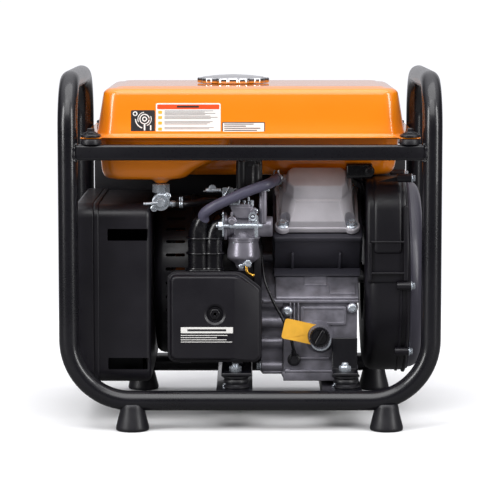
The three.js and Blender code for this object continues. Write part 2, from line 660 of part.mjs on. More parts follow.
function addIntake() {
  const { front, split, back, knob } = AIR;
  add("air_cleaner_cover", airCleanerCover(), blackPlastic);
  add("air_cleaner_case", airCleanerCase(), blackPlastic);
  add("air_filter_element", alongY(airOutline(8), [split + 1, back - 6]), foam);
  const head = round("y", [front + 0.5, front + 3.2], knob, 6, 7, 16);
  const stud = round("y", [front + 3, split - 1], knob, 2.5, 2.5, 10);
  add("air_cleaner_knob", join(head, stud), steel);
  add("intake_elbow", intakeElbow(), blackPlastic);
  add("carburettor_body", carburettor(), castAluminium);
  add("float_bowl", floatBowl(), castAluminium);
  add("throttle_motor", block(THROTTLE.x, THROTTLE.y, THROTTLE.z), blackPlastic);
  add("choke_lever", chokeLever(), steel);
  add("breather_hose", sweep(smoothLine(BREATHER_LINE), 6.6, 20, 8), hoseRubber);
}

// ---- Muffler behind the engine ------------------------------------------------------------------
function muffler() {
  const { x, y, z, outlet } = MUFFLER;
  const can = loft([
    { z: z[0], x: inset(x, 6), y: inset(y, 6), r: 14 },
    { z: z[0] + 6, x, y, r: 20 },
    { z: z[1] - 6, x, y, r: 20 },
    { z: z[1], x: inset(x, 6), y: inset(y, 6), r: 14 },
  ]);
  const port = onCylinder(42 + GAP, 96);
  const bendAt = onCylinder(66, 96);
  const line = [[83, ...port], [83, ...bendAt], [83, 40, 274], [83, y[0] + 4, 262]];
  const pipe = sweep(smoothLine(line), 9, 8, 12);
  const tail = round("y", [y[1] - 2, y[1] + 8], outlet, 11, 11, 16);
  return cut(join(can, pipe, tail), round("y", [y[1] - 1, y[1] + 10], outlet, 8.5, 8.5, 16));
}

// A slotted sheet that closes the rear between the posts. Its two ears meet the rear crossbar's lugs.
function heatGuard() {
  const { x, y, outlet, guardX, guardZ } = MUFFLER;
  const through = [y[1], y[1] + 8];
  const plate = block(guardX, [y[1] + 3, y[1] + 5], guardZ);
  const ears = [-150, 150].map((at) => block([at - 9, at + 9], [y[1] + 3, y[1] + 5], [guardZ[1] - 2, BAR.z[0] + 14]));
  const slots = Array.from({ length: 4 }, (_, i) => {
    const left = outlet[0] + 26 + i * 16;
    return block([left, left + 8], through, [outlet[1] - 10, outlet[1] + 38]);
  });
  const louvres = Array.from({ length: 2 }, (_, i) => {
    const low = guardZ[0] + 10 + i * 14;
    return block([x[0] - 118, x[0] - 22], through, [low, low + 6]);
  });
  const fanNotch = block([x[1] + 1, guardX[1] + 1], through, [guardZ[0] - 1, guardZ[0] + 28]);
  return cut(join(plate, ...ears), round("y", through, outlet, 14, 14, 16), ...slots, ...louvres, fanNotch);
}

// ---- Control box --------------------------------------------------------------------------------
function panelCase() {
  const { x, y, z, wall } = BOX;
  const shell = alongX(roundedRectangle(both(y), z, 12), x);
  const room = alongX(roundedRectangle(both(y - wall), inset(z, wall), 9), [x[0] - 1, x[1] - wall]);
  const slots = [z[0] + 16.5, z[1] - 43.5].map((low) =>
    block([x[0] + 17, x[1] + 1], [-y - 1, -y + 2], [low, low + 15]),
  );
  return cut(shell, room, ...slots);
}

function controlPanel() {
  const { x, y, z, face } = PANEL;
  const through = [face - 1, face + 4];
  const shell = alongX(roundedRectangle(both(y), z, 14), x);
  const recess = alongX(roundedRectangle(both(y - 7), inset(z, 7), 9), [x[0] - 1, face]);
  const room = alongX(roundedRectangle(both(y - 6), inset(z, 6), 9), [face + 3, x[1] + 1]);
  const holes = [
    ...Object.values(SWITCH.y).map((at) => block(through, [at - SWITCH.half, at + SWITCH.half], SWITCH.z)),
    round("x", through, BREAKER.at, BREAKER.r + GAP, BREAKER.r + GAP, 16),
    ...Object.values(OUTLETS).map((at) => round("x", through, at, OUTLET_R - 3)),
  ];
  return cut(shell, recess, room, ...holes);
}

// A rocker that rests with its upper end out, and turns about a line along Y.
function rocker(at) {
  const { face } = PANEL;
  const [z0, z1] = inset(SWITCH.z, 1.5);
  const outline = [
    [face - 4, z1], [face - 1.5, (z0 + z1) / 2], [face - 2.5, z0], [face + 4, z0 + 1], [face + 4, z1 - 1],
  ];
  return alongY(outline, [at - SWITCH.half + 1, at + SWITCH.half - 1]);
}

function addControls() {
  const { face } = PANEL;
  add("panel_case", panelCase(), blackPlastic);
  add("control_panel", controlPanel(), blackPlastic);
  for (const [name, at] of Object.entries(SWITCH.y)) add(name, rocker(at), blackPlastic);

  const button = round("x", [face - 6, face + 2.5], BREAKER.at, BREAKER.r - GAP, BREAKER.r - GAP, 16);
  const collar = round("x", [face + 3.4, face + 6], BREAKER.at, BREAKER.r + 1.5, BREAKER.r + 1.5, 16);
  const neck = round("x", [face + 2, face + 5], BREAKER.at, 5, 5, 12);
  add("breaker_button", join(button, collar, neck), blackPlastic);

  for (const [name, at] of Object.entries(OUTLETS)) {
    const bezel = round("x", [face - 3, face - GAP], at, OUTLET_R - 1, OUTLET_R);
    const body = round("x", [face - 1, face + 14], at, OUTLET_R - 4);
    add(name, join(bezel, body), blackPlastic);
  }
  add("inverter_module", block([-182, -132], both(96), [62, 190]), castAluminium);
}

addFrame();
addMountRails();
addFeet();
addEngineMounts();
addTank();
const engine = new THREE.Group();
generator.add(engine);
addBlock(engine);
addRotatingLine(engine);
addHousings(engine);
addIntake();
add("muffler", muffler(), darkSteel);
add("muffler_guard", heatGuard(), darkSteel);
addControls();

export default generator;
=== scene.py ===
# %% [markdown]
# # An open-frame inverter generator, finished around its CAD frame
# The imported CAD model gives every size, place and joint. This lesson adds what the eye looks for:
# round tubes, pressed and moulded edges, fasteners, hoses, printed plates and a material for each
# finish. It starts by loading the frame and keeping its box, because nothing may grow past it.
# %% Load the frame
import math

import bmesh
import bpy
import numpy as np
from mathutils import Matrix, Vector


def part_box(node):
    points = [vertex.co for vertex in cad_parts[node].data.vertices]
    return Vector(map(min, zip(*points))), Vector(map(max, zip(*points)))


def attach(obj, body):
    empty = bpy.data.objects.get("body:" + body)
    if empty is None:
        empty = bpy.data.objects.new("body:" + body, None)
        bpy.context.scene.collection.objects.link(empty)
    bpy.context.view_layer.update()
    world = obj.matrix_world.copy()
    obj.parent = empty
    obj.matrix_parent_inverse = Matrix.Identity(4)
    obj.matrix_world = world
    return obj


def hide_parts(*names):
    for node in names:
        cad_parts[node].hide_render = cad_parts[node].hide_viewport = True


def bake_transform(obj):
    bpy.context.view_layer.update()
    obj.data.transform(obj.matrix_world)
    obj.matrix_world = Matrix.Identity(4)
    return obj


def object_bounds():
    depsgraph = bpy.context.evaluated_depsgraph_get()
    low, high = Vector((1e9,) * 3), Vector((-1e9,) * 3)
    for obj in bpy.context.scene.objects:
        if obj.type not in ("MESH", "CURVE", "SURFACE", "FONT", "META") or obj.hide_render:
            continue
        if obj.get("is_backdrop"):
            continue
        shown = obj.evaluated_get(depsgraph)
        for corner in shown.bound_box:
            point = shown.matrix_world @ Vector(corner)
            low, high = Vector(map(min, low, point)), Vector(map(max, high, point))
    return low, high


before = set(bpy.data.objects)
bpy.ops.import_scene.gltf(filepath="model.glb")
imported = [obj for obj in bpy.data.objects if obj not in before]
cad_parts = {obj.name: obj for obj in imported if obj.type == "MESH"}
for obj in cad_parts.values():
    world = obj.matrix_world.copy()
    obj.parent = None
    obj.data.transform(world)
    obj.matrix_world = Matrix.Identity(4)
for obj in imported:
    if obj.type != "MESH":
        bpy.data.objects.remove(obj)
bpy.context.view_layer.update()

scene = bpy.context.scene


def linked(name, data):
    """A new object in the scene that carries this data."""
    obj = bpy.data.objects.new(name, data)
    scene.collection.objects.link(obj)
    return obj



# %% [markdown]
# ## Camera, light and floor
# A product picture is taken from a few metres away with a long lens, a little above the object, so that
# upright edges stay upright. The studio itself is dark towards the lens, or every black part would
# turn grey: light comes from a bright ceiling, a lit backdrop, one lamp overhead
# and two tall soft ones that draw long highlights down the tubes. What the lens sees is plain white.
# %% Camera and studio
SENSOR_MM, LENS_MM = 36.0, 175.0
DISTANCE, EYE_HEIGHT = 3.053, 0.535  # metres from the object's middle and from the floor
LOOK_DOWN = 6.22  # degrees
camera = bpy.data.cameras.new("studio_camera")
camera.sensor_width = SENSOR_MM
camera.lens = LENS_MM
camera_object = linked("studio_camera", camera)
camera_object.location = (0, -DISTANCE, EYE_HEIGHT)
camera_object.rotation_euler = (math.radians(90 - LOOK_DOWN), 0, 0)
scene.camera = camera_object
scene.view_settings.view_transform = "Standard"

LIGHTS = {  # place, aim, width, height, power in watts
    "overhead": ((0.1, -0.4, 2.3), (0, 0, 0.2), 2.4, 1.6, 25),
    "left_side": ((-2.1, -1.7, 1.2), (0, 0, 0.25), 0.7, 2.0, 42),
    "right_side": ((2.1, -1.6, 1.1), (0, 0, 0.25), 0.6, 2.0, 34),
    "front_fill": ((-0.2, -2.6, 2.9), (0, 0, 0.2), 3.2, 2.0, 46),
}
for name, (place, aim, width, height, power) in LIGHTS.items():
    lamp = bpy.data.lights.new(name, "AREA")
    lamp.shape = "RECTANGLE"
    lamp.size = width
    lamp.size_y = height
    lamp.energy = power
    lamp_object = linked(name, lamp)
    lamp_object.location = place
    lamp_object.rotation_euler = (Vector(aim) - Vector(place)).to_track_quat("-Z", "Y").to_euler()

# %% [markdown]
# ## Two small helpers for materials
# Colours are written as the hex values a paint chart would give, and one function turns them to
# the linear values that a shader wants. One more function adds any node with its settings and its
# links, for shaders and for Geometry Nodes alike.
# %% Node and colour helpers
MM = 0.001


def linear(hex_colour):
    """A shader's RGBA from an sRGB hex colour."""
    channels = [int(hex_colour[i : i + 2], 16) / 255 for i in (1, 3, 5)]
    return [c / 12.92 if c <= 0.04045 else ((c + 0.055) / 1.055) ** 2.4 for c in channels] + [1.0]


def add(tree, kind, inputs=None, **settings):
    """A node of that kind, with its settings, and its inputs set or linked."""
    made = tree.nodes.new(kind)
    for key, value in settings.items():
        setattr(made, key, value)
    for key, value in (inputs or {}).items():
        if isinstance(value, bpy.types.NodeSocket):
            tree.links.new(value, made.inputs[key])
        else:
            made.inputs[key].default_value = value
    return made


# %% [markdown]
# ## The room round the object
# The object sees a dark room with a bright ceiling and a lit backdrop. The lens sees plain white.
# %% World
CEILING, BACKDROP, LENS_WHITE = 1.2, 0.6, 1.08  # strengths
world = bpy.data.worlds.new("dark_studio_white_backdrop")
world.use_nodes = True
room = world.node_tree
sky = room.nodes["Background"]
sky.inputs["Color"].default_value = linear("#fafaff")
view = add(room, "ShaderNodeTexCoord").outputs["Generated"]
axes = add(room, "ShaderNodeSeparateXYZ", {"Vector": view}).outputs
ceiling = add(room, "ShaderNodeMapRange", {"Value": axes["Z"], 1: 0.3, 2: 0.9, 3: 0.08, 4: CEILING},
              interpolation_type="SMOOTHSTEP")
backdrop = add(room, "ShaderNodeMapRange", {"Value": axes["Y"], 1: 0.7, 2: 0.97, 3: 0.0, 4: BACKDROP},
               interpolation_type="SMOOTHSTEP")
light = add(room, "ShaderNodeMath", {0: ceiling.outputs["Result"], 1: backdrop.outputs["Result"]},
            operation="ADD")
lens = add(room, "ShaderNodeLightPath").outputs["Is Camera Ray"]
strength = add(room, "ShaderNodeMapRange", {"Value": lens, 3: light.outputs[0], 4: LENS_WHITE})
room.links.new(strength.outputs["Result"], sky.inputs["Strength"])
scene.world = world

# %% [markdown]
# ## One recipe for a surface, tuned for each finish
# Every real surface varies at two scales: slow blotches from dust, handling and coating thickness,
# and a fine grain from the mould, the blasting or the spray. The recipe lays both over a plain
# shader as a colour change, a roughness change and a bump. Sizes are given in millimetres and
# turned to noise scales, so a finish looks the same on a bolt and on a tank.
# %% The surface recipe
def surface(name, colour, rough, grain, blotch, metallic=0.0, spread=0.1, tint=0.12, **sockets):
    """A material. grain and blotch are (size in mm, depth in mm); spread and tint are how far
    roughness and colour wander. Other sockets are set by name, with _ for a space."""
    material = bpy.data.materials.new(name)
    material.use_nodes = True
    tree = material.node_tree
    shader = tree.nodes["Principled BSDF"]
    shader.inputs["Metallic"].default_value = metallic
    for key, value in sockets.items():
        shader.inputs[key.replace("_", " ")].default_value = value
    place = add(tree, "ShaderNodeTexCoord").outputs["Object"]
    grain_size, grain_depth = grain
    blotch_size, blotch_depth = blotch
    fine = add(tree, "ShaderNodeTexNoise", {"Vector": place, "Scale": 1 / (grain_size * MM), "Detail": 3.0})
    slow = add(tree, "ShaderNodeTexNoise", {"Vector": place, "Scale": 1 / (blotch_size * MM), "Detail": 4.0})
    base = linear(colour)
    shades = add(tree, "ShaderNodeValToRGB", {"Fac": slow.outputs["Fac"]})
    for stop, place_on_ramp, factor in ((0, 0.3, 1 - tint), (1, 0.7, 1 + tint)):
        shades.color_ramp.elements[stop].position = place_on_ramp
        shades.color_ramp.elements[stop].color = [min(c * factor, 1.0) for c in base[:3]] + [1.0]
    tree.links.new(shades.outputs["Color"], shader.inputs["Base Color"])
    mixed = add(tree, "ShaderNodeMath", {0: fine.outputs["Fac"], 1: slow.outputs["Fac"]},
                operation="MULTIPLY")
    gloss = add(
        tree,
        "ShaderNodeMapRange",
        {"Value": mixed.outputs[0], 1: 0.12, 2: 0.4, 3: max(rough - spread, 0.02),
         4: min(rough + spread, 1.0)},
    )
    tree.links.new(gloss.outputs["Result"], shader.inputs["Roughness"])
    slow_bump = add(tree, "ShaderNodeBump", {"Height": slow.outputs["Fac"], "Distance": blotch_depth * MM})
    bump = add(
        tree,
        "ShaderNodeBump",
        {"Height": fine.outputs["Fac"], "Distance": grain_depth * MM, "Normal": slow_bump.outputs["Normal"]},
    )
    tree.links.new(bump.outputs["Normal"], shader.inputs["Normal"])
    return material


# %% [markdown]
# ## Paints and plastics
# The frame is powder coated: a thick, even coat with a faint orange peel and a soft wide gloss. The
# tank is stove enamel, glossier and smoother, with a clear top layer. The covers are injection
# moulded ABS whose mould was etched, so light breaks up into a dull, even sheen. Thin sheet parts
# are dipped in a satin black enamel.
# %% Paints and plastics
frame_coat = surface("black_powder_coat", "#0d0c12", 0.3, (2.4, 0.0012), (60, 0.006), spread=0.04,
                     Coat_Weight=0.3)
tank_enamel = surface(
    "orange_stove_enamel", "#ee8404", 0.34, (3.0, 0.002), (90, 0.03), spread=0.04, tint=0.03,
    Specular_IOR_Level=0.3,
    Coat_Weight=1.0, Coat_Roughness=0.05,
)
abs_black = surface("grained_black_abs", "#151319", 0.38, (1.6, 0.012), (45, 0.02), spread=0.06)
sheet_black = surface("satin_black_enamel", "#17161a", 0.36, (2.0, 0.01), (40, 0.05), spread=0.06)
gloss_black = surface("smooth_black_nylon", "#0d0c10", 0.24, (2.5, 0.0015), (24, 0.01), spread=0.05)
yellow_tag = surface("yellow_polypropylene", "#f0b43c", 0.4, (1.5, 0.03), (14, 0.1), spread=0.08, tint=0.1)

# %% [markdown]
# ## Rubbers, fabric and foam
# Moulded rubber is dull and a little dusty. The hoses are smoother, and the breather hose has the
# violet-grey bloom of an oil-resistant compound. The starter rope is braided nylon, and the filter
# is open-cell foam, which the eye reads from its deep pores.
# %% Rubbers, fabric and foam
rubber = surface("moulded_black_rubber", "#151419", 0.44, (1.6, 0.02), (16, 0.03), spread=0.08)
hose_rubber = surface("oil_resistant_hose_rubber", "#585669", 0.4, (2.0, 0.01), (26, 0.05), spread=0.07)
fuel_rubber = surface("fuel_hose_rubber", "#121115", 0.36, (2.0, 0.01), (20, 0.04), spread=0.07)
rope_nylon = surface("braided_nylon_rope", "#1c1b1f", 0.7, (1.2, 0.5), (6, 0.3), spread=0.1, tint=0.3)
foam = surface("open_cell_filter_foam", "#5b5d52", 0.9, (1.8, 1.2), (30, 0.5), spread=0.08, tint=0.3)

# %% [markdown]
# ## Metals
# Die-cast aluminium is blasted after casting, which leaves a warm grey skin with fine pits and
# slow clouds. Zinc plate is a cold, slightly blue silver. Chrome is nearly a mirror. The exhaust is
# covered in a dull heat-resistant paint, and the parts inside the alternator are bare steel and
# varnished copper. The carburettor is a tumbled zinc casting, smoother and darker than the blasted
# one, and its bowl is drawn sheet with an even sheen. The shroud and the recoil cover wear a satin
# enamel, which spreads each highlight into a soft band. Anodising leaves the inverter's case matt, and
# its near-black is also painted shade, which makes the control box's slots read dark.
# Metals keep the shader's own index of refraction.
# %% Metals
cast_metal = surface(
    "blasted_die_cast_aluminium", "#d2ced4", 0.56, (1.6, 0.03), (26, 0.06), metallic=0.35, spread=0.1,
    tint=0.08
)
carburettor_cast = surface(
    "tumbled_zinc_casting", "#96939d", 0.42, (1.4, 0.03), (14, 0.06), metallic=0.6, spread=0.12, tint=0.22
)
raw_cast = surface(
    "raw_die_cast_aluminium", "#85838c", 0.46, (2.2, 0.08), (16, 0.15), metallic=0.6, spread=0.12, tint=0.26
)
drawn_bowl = surface("drawn_aluminium_bowl", "#8b8892", 0.38, (1.4, 0.01), (20, 0.03), metallic=0.7)
zinc = surface("blue_zinc_plate", "#d0d7df", 0.3, (1.6, 0.008), (9, 0.02), metallic=0.75, tint=0.12)
chrome = surface("chrome_plate", "#dddddf", 0.1, (3.0, 0.004), (40, 0.05), metallic=1.0, spread=0.04,
                 tint=0.04)
recoil_paint = surface("satin_graphite_enamel", "#3f3d48", 0.34, (2.2, 0.006), (50, 0.03), spread=0.06)
shroud_paint = surface("dark_grey_enamel", "#3b3a42", 0.38, (2.2, 0.006), (50, 0.03), spread=0.06)
# Painted shade as well as a finish: this near-black stands in for the shade seen through the control box's
# slots.
anodised_and_slot_shade = surface("black_anodised_and_painted_slot_shade", "#17171b", 0.5, (1.2, 0.03), (30, 0.05), metallic=0.6)
brass = surface("turned_brass", "#c8983e", 0.28, (1.0, 0.03), (8, 0.05), metallic=1.0)
ground_steel = surface("ground_steel", "#a5a5a7", 0.3, (0.9, 0.03), (12, 0.05), metallic=1.0)
exhaust_paint = surface("heat_resistant_paint", "#34322f", 0.68, (1.4, 0.1), (24, 0.3), metallic=0.3,
                        tint=0.25)
core_steel = surface("laminated_core_steel", "#5c5c60", 0.42, (0.8, 0.1), (16, 0.1), metallic=1.0)
copper = surface("varnished_copper_winding", "#a8602f", 0.35, (1.1, 0.3), (9, 0.2), metallic=1.0, tint=0.3)

# %% [markdown]
# ## Printed film and small lenses
# The plates on the tank are printed vinyl, so they carry a thin gloss over flat ink. The lamp lenses
# are coloured, slightly cloudy plastic that lets some light in.
# %% Films and lenses
film_white = surface("white_vinyl_film", "#eeece8", 0.32, (2.0, 0.008), (25, 0.04), spread=0.04, tint=0.03)
film_black = surface("black_vinyl_film", "#2b2a2d", 0.34, (2.0, 0.008), (25, 0.04), spread=0.04)
film_red = surface("red_orange_ink", "#e4501f", 0.34, (2.0, 0.008), (25, 0.04), spread=0.04, tint=0.04)
film_yellow = surface("yellow_ink", "#f2b63a", 0.34, (2.0, 0.008), (25, 0.04), spread=0.04, tint=0.04)
film_grey = surface("grey_ink", "#8e8c8c", 0.36, (2.0, 0.008), (25, 0.04), spread=0.04)
floor_paint = surface("pale_studio_floor", "#f1f1f2", 0.75, (6.0, 0.0), (400, 0.0), spread=0.03, tint=0.01)
lens_green = surface(
    "green_lamp_lens", "#3fae4d", 0.18, (1.5, 0.02), (6, 0.02), spread=0.05, Transmission_Weight=0.35
)
lens_red = surface(
    "red_lamp_lens", "#c63a30", 0.18, (1.5, 0.02), (6, 0.02), spread=0.05, Transmission_Weight=0.35
)
print(len(bpy.data.materials), "finishes made")

# %% [markdown]
# ## Shapes in millimetres
# Mesh code is easiest to follow when a shape is a stack of rings: a tube is a ring that follows a
# path, a turned part is a ring that changes its radius, and a moulded box is a rounded rectangle
# that shrinks a little at each end. All of these end in one function that skins the rings, closes
# both ends, merges doubles and turns every face outwards.
# %% Skinning rings
def solid(name, points, faces):
    """A mesh object from points in mm, with its doubles merged and its faces outwards."""
    mesh = bpy.data.meshes.new(name)
    mesh.from_pydata([[c * MM for c in p] for p in points], [], faces)
    shape = bmesh.new()
    shape.from_mesh(mesh)
    bmesh.ops.remove_doubles(shape, verts=shape.verts, dist=0.002 * MM)
    bmesh.ops.recalc_face_normals(shape, faces=shape.faces)
    shape.to_mesh(mesh)
    shape.free()
    return linked(name, mesh)


def skin(name, rings, closed=False):
    """The surface over rings of equally many points. Closed joins the last ring to the first."""
    count = len(rings[0])
    spans = len(rings) if closed else len(rings) - 1
    faces = []
    for i in range(spans):
        here = i * count
        there = (i + 1) % len(rings) * count
        for j in range(count):
            k = (j + 1) % count
            faces.append((here + j, here + k, there + k, there + j))
    if not closed:
        faces.append(tuple(range(count)))
        faces.append(tuple(range(spans * count, (spans + 1) * count)))
    return solid(name, [p for ring in rings for p in ring], faces)


def upright(axis, a, b, h):
    """The point h along an axis, with a and b as its two other coordinates in X, Y, Z order."""
    return {"x": (h, a, b), "y": (a, h, b), "z": (a, b, h)}[axis]


def turned(name, axis, at, profile, sides=40, closed=False):
    """A solid of revolution from (radius, height) points, about the line through at."""
    angles = [2 * math.pi * i / sides for i in range(sides)]
    rings = [
        [upright(axis, at[0] + r * math.cos(t), at[1] + r * math.sin(t), h) for t in angles]
        for r, h in profile
    ]
    return skin(name, rings, closed)


def rounded_rectangle(a, b, r, steps=6):
    """The corners of a rectangle between two limits each way, with arcs of radius r."""
    centres = [(a[1] - r, b[1] - r), (a[0] + r, b[1] - r), (a[0] + r, b[0] + r), (a[1] - r, b[0] + r)]
    points = []
    for quarter, (ca, cb) in enumerate(centres):
        for i in range(steps + 1):
            t = (quarter + i / steps) * math.pi / 2
            points.append((ca + r * math.cos(t), cb + r * math.sin(t)))
    return points


def moulded(name, axis, span, a, b, corner, first=1.0, last=1.0, steps=4):
    """A rounded box: its section's corners have one radius, and its two end faces roll over
    with radii first and last."""
    levels = [(first * (1 - math.sin(t)), span[0] + first * (1 - math.cos(t)))
              for t in np.linspace(0, math.pi / 2, steps + 1)]
    levels += [(last * (1 - math.cos(t)), span[1] - last * (1 - math.sin(t)))
               for t in np.linspace(0, math.pi / 2, steps + 1)]
    rings = []
    for inset, h in levels:
        ring = rounded_rectangle(
            (a[0] + inset, a[1] - inset), (b[0] + inset, b[1] - inset), max(corner - inset, 0.05)
        )
        rings.append([upright(axis, p, q, h) for p, q in ring])
    return skin(name, rings)


# %% [markdown]
# ## Bars that follow a path
# A bent tube is a circle carried along a line without twisting. Corners are arcs of one radius, as
# a mandrel bender leaves them, and a hose follows a smooth curve through a few chosen points.
# %% Paths and tubes
def bent_path(corners, radii, closed=False, steps=16):
    """A line through corners, each rounded to its radius."""
    at = [Vector(c) for c in corners]
    path = []
    for i, corner in enumerate(at):
        if not closed and i in (0, len(at) - 1):
            path.append(corner)
            continue
        before = (at[i - 1] - corner).normalized()
        after = (at[(i + 1) % len(at)] - corner).normalized()
        half = before.angle(after) / 2
        reach = radii[i] / math.tan(half)
        centre = corner + (before + after).normalized() * radii[i] / math.sin(half)
        start = corner + before * reach - centre
        end = corner + after * reach - centre
        sweep = start.angle(end)
        for k in range(steps + 1):
            t = k / steps
            arm = (start * math.sin((1 - t) * sweep) + end * math.sin(t * sweep)) / math.sin(sweep)
            path.append(centre + arm)
    return path


def smooth_path(points, steps=6):
    """A smooth curve through every point."""
    at = [Vector(p) for p in points]
    at = [2 * at[0] - at[1]] + at + [2 * at[-1] - at[-2]]
    path = []
    for i in range(1, len(at) - 2):
        for k in range(steps):
            t = k / steps
            a, b, c, d = at[i - 1 : i + 3]
            square, cube = 2 * a - 5 * b + 4 * c - d, 3 * b - a - 3 * c + d
            path.append(0.5 * (2 * b + (c - a) * t + square * t**2 + cube * t**3))
    return path + [at[-2]]


def tube(name, path, radius, sides=20, closed=False):
    """A round bar along a path. The radius is one number, or one for each point."""
    count = len(path)
    radii = radius if hasattr(radius, "__len__") else [radius] * count
    tangents = []
    for i in range(count):
        before = path[i - 1] if closed or i > 0 else path[i]
        after = path[(i + 1) % count] if closed or i < count - 1 else path[i]
        tangents.append((after - before).normalized())
    side = tangents[0].orthogonal().normalized()
    sides_at = [side]
    for i in range(1, count):
        side = tangents[i - 1].rotation_difference(tangents[i]) @ side
        side = (side - tangents[i] * side.dot(tangents[i])).normalized()
        sides_at.append(side)
    twist = 0.0
    if closed:  # what a full lap turns the ring by is spread over the path
        back = tangents[-1].rotation_difference(tangents[0]) @ side
        twist = math.atan2(back.cross(sides_at[0]).dot(tangents[0]), back.dot(sides_at[0]))
    rings = []
    for i, centre in enumerate(path):
        u = sides_at[i]
        v = tangents[i].cross(u)
        turn = twist * i / count
        angles = [turn + 2 * math.pi * k / sides for k in range(sides)]
        rings.append([centre + (u * math.cos(t) + v * math.sin(t)) * radii[i] for t in angles])
    return skin(name, rings, closed)


# %% [markdown]
# ## Cutting, rolling edges and joining
# No edge on a real machine is perfectly sharp, and the thin bright line along a rolled edge is what
# sells its size. A Bevel modifier rolls every edge that is sharper than an angle. Cuts are Boolean
# modifiers. Each modifier is baked into the mesh at once, so a finished piece carries none.
# %% Modifiers baked into the mesh
def bake(obj):
    """The object's evaluated mesh becomes its own, and its modifiers go."""
    depsgraph = bpy.context.evaluated_depsgraph_get()
    mesh = bpy.data.meshes.new_from_object(obj.evaluated_get(depsgraph))
    obj.modifiers.clear()
    obj.data = mesh
    return obj


def rolled(obj, width, segments=2, angle=35):
    """Rolls every edge sharper than the angle, by a width in mm."""
    bevel = obj.modifiers.new("rolled_edges", "BEVEL")
    bevel.width = width * MM
    bevel.segments = segments
    bevel.limit_method = "ANGLE"
    bevel.angle_limit = math.radians(angle)
    return bake(obj)


def combine(obj, operation, others):
    """A Boolean with each of the others in turn, which are used up."""
    for other in others:
        step = obj.modifiers.new("boolean", "BOOLEAN")
        step.operation = operation
        step.solver = "EXACT"
        step.object = other
        bake(obj)
        bpy.data.objects.remove(other)
    return obj


def cut(obj, *tools):
    return combine(obj, "DIFFERENCE", tools)


def fused(obj, *others):
    return combine(obj, "UNION", others)


def shaped(name, shape):
    """An object made from a bmesh, which is freed."""
    mesh = bpy.data.meshes.new(name)
    shape.to_mesh(mesh)
    shape.free()
    return linked(name, mesh)


def grouped(name, *parts):
    """Several meshes as one object, without joining their surfaces."""
    shape = bmesh.new()
    for part in parts:
        shape.from_mesh(part.data)
        bpy.data.objects.remove(part)
    return shaped(name, shape)


def prism(name, axis, outline, span, edge=0.0, segments=2):
    """An outline extruded along an axis, with its sharp edges rolled."""
    rings = [[upright(axis, a, b, h) for a, b in outline] for h in span]
    made = skin(name, rings)
    return rolled(made, edge, segments) if edge else made


def box_mm(node):
    """A CAD node's lowest and highest corners, in mm."""
    low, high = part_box(node)
    return Vector(low) / MM, Vector(high) / MM


def refined(node, name, edge, segments=2):
    """A copy of a flat-sided CAD node with its triangles merged and its edges rolled."""
    shape = bmesh.new()
    shape.from_mesh(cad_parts[node].data)
    bmesh.ops.remove_doubles(shape, verts=shape.verts, dist=0.01 * MM)
    bmesh.ops.dissolve_limit(shape, angle_limit=math.radians(1), verts=shape.verts, edges=shape.edges)
    return rolled(shaped(name, shape), edge, segments)


def finished(obj, material, body="root", replaces=(), angle=35):
    """Gives a piece its material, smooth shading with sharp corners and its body."""
    obj.data.materials.clear()
    obj.data.materials.append(material)
    obj.data.shade_smooth()
    obj.data.set_sharp_from_angle(angle=math.radians(angle))
    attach(obj, body)
    if replaces:
        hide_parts(*replaces)
    return obj


# %% [markdown]
# ## The studio floor
# A pale disc catches the shadow. Its paint fades out before its edge, and it is grey to everything
# but the lens, or it would light the black parts from below.
# %% Floor
FLOOR = 1500  # mm from the middle to the edge
FADE_FROM, FADE_TO = 0.8, 1.4  # metres
SEEN_BY_OBJECT, SEEN_BY_LENS = 0.14, 0.92  # how pale the paint is
circle = [(FLOOR * math.cos(t), FLOOR * math.sin(t), 0) for t in np.linspace(0, 2 * math.pi, 97)[:-1]]
floor = solid("studio_floor", circle, [tuple(range(96))])
paint = floor_paint.node_tree
place = add(paint, "ShaderNodeTexCoord").outputs["Object"]
reach = add(paint, "ShaderNodeVectorMath", {0: place}, operation="LENGTH").outputs["Value"]
fade = add(paint, "ShaderNodeMapRange", {"Value": reach, 1: FADE_FROM, 2: FADE_TO},
           interpolation_type="SMOOTHSTEP")
clear = add(paint, "ShaderNodeBsdfTransparent")
lens = add(paint, "ShaderNodeLightPath").outputs["Is Camera Ray"]
pale = add(paint, "ShaderNodeMapRange", {"Value": lens, 3: SEEN_BY_OBJECT, 4: SEEN_BY_LENS})
paint.links.new(pale.outputs["Result"], paint.nodes["Principled BSDF"].inputs["Base Color"])
mixed = add(paint, "ShaderNodeMixShader", {
    0: fade.outputs["Result"], 1: paint.nodes["Principled BSDF"].outputs[0], 2: clear.outputs[0],
})
paint.links.new(mixed.outputs[0], paint.nodes["Material Output"].inputs["Surface"])
floor.data.materials.append(floor_paint)
floor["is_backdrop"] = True

# %% [markdown]
# ## Geometry Nodes: fasteners on marked places
# A machine has dozens of the same flange bolt. Modelling it once and placing it on points is how a
# CAD library does it too. The tree takes a cloud of points that carry an axis and a size, turns one
# bolt to each, spins it by a seeded angle, because no fitter leaves every hexagon aligned, and ends
# in real mesh with its material.
# %% The fastener tree
def new_tree(name, sockets):
    """An empty Geometry Nodes tree with named inputs, given as (label, socket type, default)."""
    tree = bpy.data.node_groups.new(name, "GeometryNodeTree")
    tree.interface.new_socket("Geometry", in_out="INPUT", socket_type="NodeSocketGeometry")
    for label, kind, default in sockets:
        item = tree.interface.new_socket(label, in_out="INPUT", socket_type="NodeSocket" + kind)
        if default is not None:
            item.default_value = default
    tree.interface.new_socket("Geometry", in_out="OUTPUT", socket_type="NodeSocketGeometry")
    return tree, tree.nodes.new("NodeGroupInput").outputs


def end_tree(tree, geometry, material):
    """Closes a tree with Realize Instances and Set Material."""
    real = add(tree, "GeometryNodeRealizeInstances", {"Geometry": geometry})
    painted = add(
        tree, "GeometryNodeSetMaterial", {"Geometry": real.outputs["Geometry"], "Material": material}
    )
    add(tree, "NodeGroupOutput", {"Geometry": painted.outputs["Geometry"]})


